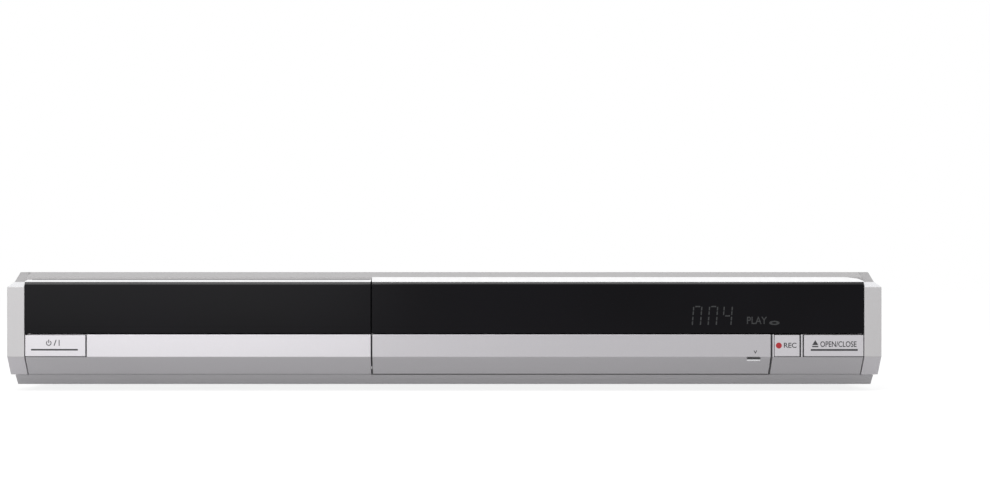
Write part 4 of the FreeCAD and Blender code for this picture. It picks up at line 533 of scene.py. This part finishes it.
# Sockets: coloured collars, plated barrels, pins and shells

COLLAR_RADIUS, BARREL_RADIUS = 5.3, 4.3
AERIAL_RADIUS = 5.0
PIN_RADIUS, PIN_SPREAD = 1.3, 4.3
SHELL_REACH = 4
BACK_COLLAR_START, FRONT_COLLAR_END = 1, 2.5
COLLAR_COLOURS = (ring_yellow, ring_white, ring_red)
FRONT_PHONO = ("front_video", "front_left_sound", "front_right_sound")


def spots_of(*names):
    return [mount_spot[name] / MM for name in names]


def phono_paint(colour, names, **reach):
    """The collars' colour and the barrels' nickel at the phono sockets of those mounts."""
    spots = spots_of(*names)
    return [(colour, near_axis(spots, COLLAR_RADIUS, **reach)),
            (nickel, near_axis(spots, BARREL_RADIUS, **reach))]


def dress_sockets():
    rear, panel = high("rear_panel", "y"), low("jack_panel", "y")
    painted = []
    for column, colour in enumerate(COLLAR_COLOURS, 1):
        pair = (f"phono_low_{column}", f"phono_high_{column}")
        painted += phono_paint(colour, pair, start=rear - BACK_COLLAR_START)
    dress("phono_sockets", painted=painted)
    painted = []
    for name, colour in zip(FRONT_PHONO, COLLAR_COLOURS):
        painted += phono_paint(colour, [name], end=panel + FRONT_COLLAR_END)
    dress("front_jacks", painted=painted)
    aerials = spots_of("aerial_in", "aerial_out")
    dress("tuner_module", painted=[(nickel, near_axis(aerials, AERIAL_RADIUS, start=rear))])
    inlet, shell = spots_of("mains_inlet", "digital_out")
    pins = [inlet + Vector((side * PIN_SPREAD, 0, 0)) for side in (-1, 1)]
    dress("mains_inlet", painted=[(nickel, near_axis(pins, PIN_RADIUS))])

    def on_shell(spot, normal):
        return abs(spot.z - shell.z) < SHELL_REACH and spot.y > rear

    dress("digital_sockets", painted=[(nickel, on_shell)])


# Inside: how deep the tape lies round the core, and how far above the board sleeves and tops start

CORE_SKIN = 0.1
SLEEVE_START, CAN_TOP = 4, 10


def dress_inside():
    top = high("transformer", "z") - CORE_SKIN
    left, right = low("transformer", "x") + CORE_SKIN, high("transformer", "x") - CORE_SKIN
    board_top = high("main_board", "z")

    def on_core(spot, normal):
        return spot.z > top or not left < spot.x < right

    def on_sleeve(spot, normal):
        return spot.z > board_top + SLEEVE_START

    def on_can_top(spot, normal):
        return spot.z > board_top + CAN_TOP and normal.z > SQUARE

    dress("transformer", painted=[(core_steel, on_core)])
    dress("board_components", painted=[
        (capacitor_sleeve, on_sleeve), (finishes["cast_aluminium"], on_can_top)])


# The sloping faces of the front

CHIN_TOP, CHIN_LOW = 17.3, 8.3
CHIN_SLOPE = 11 / 9.2


def chin(z):
    """The y of the sloping face under the band, at height z."""
    return front + (CHIN_TOP - z) * CHIN_SLOPE


def trim_face(z):
    """The y of the tray trim's sloping face, at height z."""
    foot, head = low("tray_trim", "z"), high("tray_trim", "z")
    near, far = low("tray_trim", "y"), high("tray_trim", "y")
    return near + (z - foot) / (head - foot) * (far - near)


# Painted shade: dark lines where the buttons, the flap door and the trim meet the front

GAP = 0.25
LINE, FLAP_LINE, FLAP_EDGE = 0.42, 0.6, 0.3
LINE_RISE = 0.9
FLAP_EDGE_END = 1
TRIM_LINE_LEFT, TRIM_LINE_RIGHT = 3.5, 0.5
TRIM_LINE_BELOW, TRIM_LINE_ABOVE = 0.1, 0.15


def frame_lines(node, sides):
    """Bars of painted shade beside the gap round a button, on the sides l and r, and in the gap
    under it, b.
    """
    left, right = low(node, "x") - GAP, high(node, "x") + GAP
    bottom, top = low(node, "z") - GAP, high(node, "z") + GAP
    lines = {
        "l": bar(left - LINE, left, bottom, top),
        "r": bar(right, right + LINE, CHIN_TOP, top),
        "b": bar(left, right, CHIN_TOP, bottom + GAP * LINE_RISE),
    }
    return [lines[side] for side in sides]


def line_flap():
    """The flap door's edges, and the lines on the case beyond its right end, darkened with painted
    shade.
    """
    left, right, top = low("flap_door", "x"), high("flap_door", "x"), high("flap_door", "z")
    inner = left + FLAP_EDGE
    print_and_painted_light_marks("flap_side_line", [bar(left, inner, CHIN_TOP, top)], front, print_and_shade_black,
                "flap_door")
    print_and_painted_light_marks("flap_chin_edge", [
        bar(left, inner, CHIN_LOW, CHIN_TOP),
        bar(inner, right - FLAP_EDGE_END, CHIN_LOW, CHIN_LOW + FLAP_EDGE),
    ], chin, print_and_shade_black, "flap_door")
    start = right + GAP
    end = start + FLAP_LINE
    print_and_painted_light_marks("flap_line", [bar(start, end, CHIN_TOP, top)], front, print_and_shade_black, "case")
    print_and_painted_light_marks("flap_chin_line", [bar(start, end, CHIN_LOW, CHIN_TOP)], chin, print_and_shade_black, "case")


def line_trim():
    # A thin line of painted shade along the top of the tray trim
    left, right = low("tray_trim", "x") + TRIM_LINE_LEFT, high("tray_trim", "x") - TRIM_LINE_RIGHT
    line = bar(left, right, TRIM_SPLIT - TRIM_LINE_BELOW, TRIM_SPLIT + TRIM_LINE_ABOVE)
    print_and_painted_light_marks("tray_trim_line", [line], trim_face, gap_shade_grey, "tray")


def line_chin():
    """The chin's lower line of painted shade, on both sides of the flap door."""
    before_flap = low("flap_door", "x") - GAP
    after_flap = high("flap_door", "x") + GAP + FLAP_LINE
    print_and_painted_light_marks("chin_line", [
        bar(low("power_button", "x"), before_flap, CHIN_LOW, CHIN_LOW + LINE / 2),
        bar(after_flap, low("right_end_cap", "x"), CHIN_LOW, CHIN_LOW + LINE / 2),
    ], chin, gap_shade_grey, "case")


def draw_gaps():
    buttons = (frame_lines("power_button", "rb") + frame_lines("record_button", "rb")
               + frame_lines("open_close_button", "lb"))
    print_and_painted_light_marks("button_lines", buttons, front, print_and_shade_black, "case")
    line_flap()
    line_trim()
    line_chin()


# Printed marks on the front, with the catch slot's painted shade and the painted highlight under
# it. A box is left, right, low and high; the power mark's parts are placed from its middle

POWER_PLACE = (-191.9, 24.16)
POWER_RING, POWER_RING_ENDS = 1.35, (125, 415)
RING_PLACE, STEM_RISE = -2.6, 0.3
SLASH_FOOT, SLASH_HEAD = (-0.2, 0.25), (0.8, 1.25)
UPRIGHT_PLACE, UPRIGHT_RISE = 2.3, 0.2
POWER_LINE = (-203.2, -180.2, 20.45, 21.25)
RECORD_DOT = (164.5, 22.9, 1.45)
RECORD_BOX = (167.0, 173.2, 21.8, 24.3)
EJECT_ARROW = [(180.9, 23.15), (183.9, 23.15), (182.4, 25.6)]
EJECT_BAR = (180.9, 183.9, 22.1, 22.7)
OPEN_CLOSE_BOX = (184.9, 202.7, 22.2, 25.0)
OPEN_CLOSE_LINE = (180.2, 203.3, 20.3, 21.2)
PLAY_BOX = (148.8, 158.7, 33.5, 37.1)
DISC_PLACE = (162.3, 34.05)
DISC_RADIUS, DISC_STROKE, DISC_SQUASH = 2.6, 1.5, 0.4
DISC_HALVES = ((2, 178), (182, 358))
CATCH_ARROW = [(152.1, 20.5), (152.5, 20.5), (152.95, 19.5), (153.4, 20.5), (153.8, 20.5),
               (153.1, 19.0), (152.8, 19.0)]
CATCH_SLOT = (149.0, 155.6, 16.0, 17.0)
CATCH_EDGE = (149.0, 155.6, 15.3, 16.0)


def power_outlines():
    """A ring with a stem, a slash and an upright line."""
    x, z = POWER_PLACE
    foot, head = z - POWER_RING, z + POWER_RING + UPRIGHT_RISE
    ring_x, upright_x = x + RING_PLACE, x + UPRIGHT_PLACE
    foot_left, foot_right = SLASH_FOOT
    head_left, head_right = SLASH_HEAD
    return [
        arc(ring_x, z, POWER_RING, STROKE, *POWER_RING_ENDS),
        bar(ring_x - STROKE / 2, ring_x + STROKE / 2, z, z + POWER_RING + STEM_RISE),
        [(x + foot_left, foot), (x + foot_right, foot),
         (x + head_right, head), (x + head_left, head)],
        bar(upright_x, upright_x + STROKE, foot, head),
    ]


def print_front():
    print_and_painted_light_marks("power_mark", power_outlines(), front, print_and_shade_black, "power_button")
    print_and_painted_light_marks("power_line", [bar(*POWER_LINE)], front, print_and_shade_black, "power_button")
    print_and_painted_light_marks("record_dot", [disc(*RECORD_DOT)], front, print_red, "record_button")
    print_words("record_word", "REC", RECORD_BOX, front, print_and_shade_black, "record_button")
    print_and_painted_light_marks("eject_mark", [EJECT_ARROW, bar(*EJECT_BAR)], front, print_and_shade_black,
                "open_close_button")
    print_words("open_close_word", "OPEN/CLOSE", OPEN_CLOSE_BOX, front, print_and_shade_black,
                "open_close_button")
    print_and_painted_light_marks("open_close_line", [bar(*OPEN_CLOSE_LINE)], front, print_and_shade_black, "open_close_button")
    print_words("play_word", "PLAY", PLAY_BOX, front, lit_grey, "case")
    print_and_painted_light_marks("disc_mark", [arc(*DISC_PLACE, DISC_RADIUS, DISC_STROKE, *ends, DISC_SQUASH)
                              for ends in DISC_HALVES], front, lit_grey, "case")
    print_and_painted_light_marks("catch_mark", [CATCH_ARROW], front, print_and_shade_black, "flap_door")
    # The catch slot: a bar of painted shade
    print_and_painted_light_marks("catch_slot", [bar(*CATCH_SLOT)], chin, print_and_shade_black, "flap_door")
    # The pale lip under the catch slot: painted highlight
    print_and_painted_light_marks("catch_edge", [bar(*CATCH_EDGE)], chin, painted_highlight_silver, "flap_door")


# Numbers in the display: left, right and lit strokes of each. The strokes are broken and lean right

DIGITS = [(121.6, 126.2, "abcef"), (129.4, 134.0, "abcef"), (136.6, 141.2, "bcfg")]
DIGIT_LOW, DIGIT_HIGH, LEAN = 32.6, 42.4, 0.08
DIGIT_GAP, DIGIT_STROKE = 0.45, 0.62


def digit_strokes(left, right, lit):
    """Outlines of one number's lit strokes: a is the top, g the middle, the rest go clockwise."""
    gap, thick = DIGIT_GAP, DIGIT_STROKE
    centre = (DIGIT_LOW + DIGIT_HIGH) / 2
    levels = {"a": DIGIT_HIGH - thick, "g": centre - thick / 2, "d": DIGIT_LOW}
    strokes = []
    for name in lit:
        if name in levels:
            level = levels[name]
            strokes.append(bar(left + gap + thick, right - gap - thick, level, level + thick))
        else:
            side = left if name in "ef" else right - thick
            bottom, top = (centre, DIGIT_HIGH) if name in "bf" else (DIGIT_LOW, centre)
            half = (bottom + top) / 2
            for start, end in ((bottom + gap, half - gap / 2), (half + gap / 2, top - gap)):
                strokes.append(bar(side, side + thick, start, end))
    return [[(x + (z - DIGIT_LOW) * LEAN, z) for x, z in outline] for outline in strokes]


def print_display():
    outlines = [outline for digit in DIGITS for outline in digit_strokes(*digit)]
    print_and_painted_light_marks("display_numbers", outlines, front, lit_grey, "case")


# Marks on the small buttons behind the flap door

SYMBOL_REACH = 1.2


def print_small_buttons():
    face_y = low("stop_button", "y")
    r, half = SYMBOL_REACH, SYMBOL_REACH / 2
    outlines = {
        "stop_button": lambda x, z: bar(x - r, x + r, z - r, z + r),
        "play_button": lambda x, z: [(x - r, z - r), (x + r, z), (x - r, z + r)],
        "channel_down_button": lambda x, z: [(x - r, z + half), (x, z - r), (x + r, z + half)],
        "channel_up_button": lambda x, z: [(x - r, z - half), (x + r, z - half), (x, z + r)],
        "drive_select_button": lambda x, z: disc(x, z, r),
    }
    for node, outline in outlines.items():
        symbol = outline(middle(node, "x"), middle(node, "z"))
        print_and_painted_light_marks(f"{node}_mark", [symbol], face_y, print_white, node)


# Slots of the case screws, drawn as crosses of painted shade: x of those at the back, y and z of
# those at the sides

SCREW_CROSS, SCREW_SLOT, SCREW_HEAD = 1.4, 0.4, 3.2
BACK_SCREWS = (-150, 0, 150)
SIDE_SCREWS = ((-60, 13.1), (110, 13.1))


def cross(x, z):
    """Outline of a screw's two crossed slots."""
    far, near = SCREW_CROSS, SCREW_SLOT
    return [(x + a, z + b) for a, b in (
        (-far, -near), (-near, -near), (-near, -far), (near, -far), (near, -near), (far, -near),
        (far, near), (near, near), (near, far), (-near, far), (-near, near), (-far, near))]


def mark_screws():
    back, side = high("case_screws", "y"), high("case_screws", "x")
    height = high("case_screws", "z") - SCREW_HEAD
    print_and_painted_light_marks("back_screw_slots", [cross(x, height) for x in BACK_SCREWS], -back, recess_painted_shade,
                "case", turn=180)
    for name, turn, order in (("right", 90, 1), ("left", -90, -1)):
        print_and_painted_light_marks(f"{name}_screw_slots", [cross(order * y, z) for y, z in SIDE_SCREWS], -side,
                    recess_painted_shade, "case", turn=turn)


# Words at the back: the socket each belongs to, how far off in x and z it starts, and its width

LETTER = 2.4
BACK_WORDS = (
    ("aerial_in_word", "IN", "aerial_in", -9, -LETTER / 2, 3.2),
    ("aerial_out_word", "OUT", "aerial_out", -10, -LETTER / 2, 5.4),
    ("first_scart_number", "1", "scart_1", 0, 11, 0.9),
    ("second_scart_number", "2", "scart_2", 0, 11, 1.6),
    ("left_sound_letter", "L", "phono_high_2", 0, 6.2, 1.4),
    ("right_sound_letter", "R", "phono_high_3", 0, 6.2, 1.7),
)


def label_back():
    for name, words, socket, across, up, width in BACK_WORDS:
        spot = mount_spot[socket] / MM
        x, z = spot.x + across, spot.z + up
        box = (-x - width / 2, -x + width / 2, z, z + LETTER)
        print_words(name, words, box, -high("rear_panel", "y"), print_and_shade_black, "case", turn=180)


# Floor and world: pale where they are looked at, plain as light

FLOOR_REACH = 6.0
FLOOR_GREY, FLOOR_GLOW = 0.4, 0.77
WORLD_LIGHT, WORLD_SHOWN = 0.58, 1.0
WHITE = (1, 1, 1, 1)


def shown_directly(nodes, links):
    """1 for rays that look at a surface, in a mirror or through glass; 0 for light from it."""
    paths = nodes.new("ShaderNodeLightPath")
    seen = paths.outputs["Is Camera Ray"]
    for other in ("Is Glossy Ray", "Is Transmission Ray"):
        either = nodes.new("ShaderNodeMath")
        either.operation = "MAXIMUM"
        links.new(seen, either.inputs[0])
        links.new(paths.outputs[other], either.inputs[1])
        seen = either.outputs[0]
    return seen


def lay_floor():
    mesh = bmesh.new()
    bmesh.ops.create_grid(mesh, x_segments=1, y_segments=1, size=FLOOR_REACH)
    data = bpy.data.meshes.new("floor")
    mesh.to_mesh(data)
    mesh.free()
    material = bpy.data.materials.new("pale_floor")
    material.use_nodes = True
    nodes, links = material.node_tree.nodes, material.node_tree.links
    nodes.remove(nodes["Principled BSDF"])
    matt = nodes.new("ShaderNodeBsdfDiffuse")
    matt.inputs["Color"].default_value = (FLOOR_GREY, FLOOR_GREY, FLOOR_GREY, 1)
    glow = nodes.new("ShaderNodeEmission")
    links.new(shown_directly(nodes, links), glow.inputs["Strength"])
    glow.inputs["Color"].default_value = (FLOOR_GLOW, FLOOR_GLOW, FLOOR_GLOW, 1)
    both = nodes.new("ShaderNodeAddShader")
    links.new(matt.outputs[0], both.inputs[0])
    links.new(glow.outputs[0], both.inputs[1])
    links.new(both.outputs[0], nodes["Material Output"].inputs["Surface"])
    data.materials.append(material)
    floor = bpy.data.objects.new("floor", data)
    bpy.context.collection.objects.link(floor)


def light_world():
    world = bpy.data.worlds.new("white_studio")
    world.use_nodes = True
    nodes, links = world.node_tree.nodes, world.node_tree.links
    light = nodes["Background"]
    light.inputs["Color"].default_value = WHITE
    light.inputs["Strength"].default_value = WORLD_LIGHT
    shown = nodes.new("ShaderNodeBackground")
    shown.inputs["Color"].default_value = WHITE
    shown.inputs["Strength"].default_value = WORLD_SHOWN
    choice = nodes.new("ShaderNodeMixShader")
    links.new(shown_directly(nodes, links), choice.inputs["Fac"])
    links.new(light.outputs[0], choice.inputs[1])
    links.new(shown.outputs[0], choice.inputs[2])
    links.new(choice.outputs[0], nodes["World Output"].inputs["Surface"])
    bpy.context.scene.world = world


# Two softboxes, in metres and watts: a large one high in front, and a low one at the left whose
# gloss fades along the silver band
LAMPS = {
    "high_lamp": {"place": Vector((-0.1, -1.0, 0.95)), "aim": Vector((0, -0.169, 0.03)),
                  "wide": 0.9, "tall": 0.9, "power": 7.0},
    "low_lamp": {"place": Vector((-0.27, -0.72, 0.12)), "aim": Vector((-0.2, -0.169, 0.03)),
                 "wide": 0.45, "tall": 0.2, "power": 0.6},
}


def hang_lamp(name, place, aim, wide, tall, power):
    lamp = bpy.data.lights.new(name, "AREA")
    lamp.shape = "RECTANGLE"
    lamp.size, lamp.size_y = wide, tall
    lamp.energy = power
    hung = bpy.data.objects.new(name, lamp)
    hung.location = place
    hung.rotation_euler = (aim - place).to_track_quat("-Z", "Y").to_euler()
    hung.visible_camera = False
    bpy.context.collection.objects.link(hung)


# Camera: level, at CAMERA_PLACE in metres. At the front's distance it frames FIELD_WIDTH round
# FRAME_CENTRE in x and z, as the photograph does
SENSOR = 36
CAMERA_PLACE = (0, -1.469, 0.060)
FIELD_WIDTH = 486.8
FRAME_CENTRE = (24.93, 69.4)


def place_camera():
    camera = bpy.data.cameras.new("camera")
    camera.sensor_width = SENSOR
    reach = front - CAMERA_PLACE[1] / MM
    camera.lens = SENSOR * reach / FIELD_WIDTH
    camera.shift_x = (FRAME_CENTRE[0] - CAMERA_PLACE[0] / MM) / FIELD_WIDTH
    camera.shift_y = (FRAME_CENTRE[1] - CAMERA_PLACE[2] / MM) / FIELD_WIDTH
    seen = bpy.data.objects.new("camera", camera)
    seen.location = CAMERA_PLACE
    seen.rotation_euler = (math.radians(90), 0, 0)
    bpy.context.collection.objects.link(seen)
    bpy.context.scene.camera = seen


finish_nodes()
dress_front()
dress_sockets()
dress_inside()
draw_gaps()
print_front()
print_display()
print_small_buttons()
mark_screws()
label_back()
lay_floor()
light_world()
for lamp_name, lamp_values in LAMPS.items():
    hang_lamp(lamp_name, **lamp_values)
place_camera()
bpy.context.scene.view_settings.view_transform = "Standard"
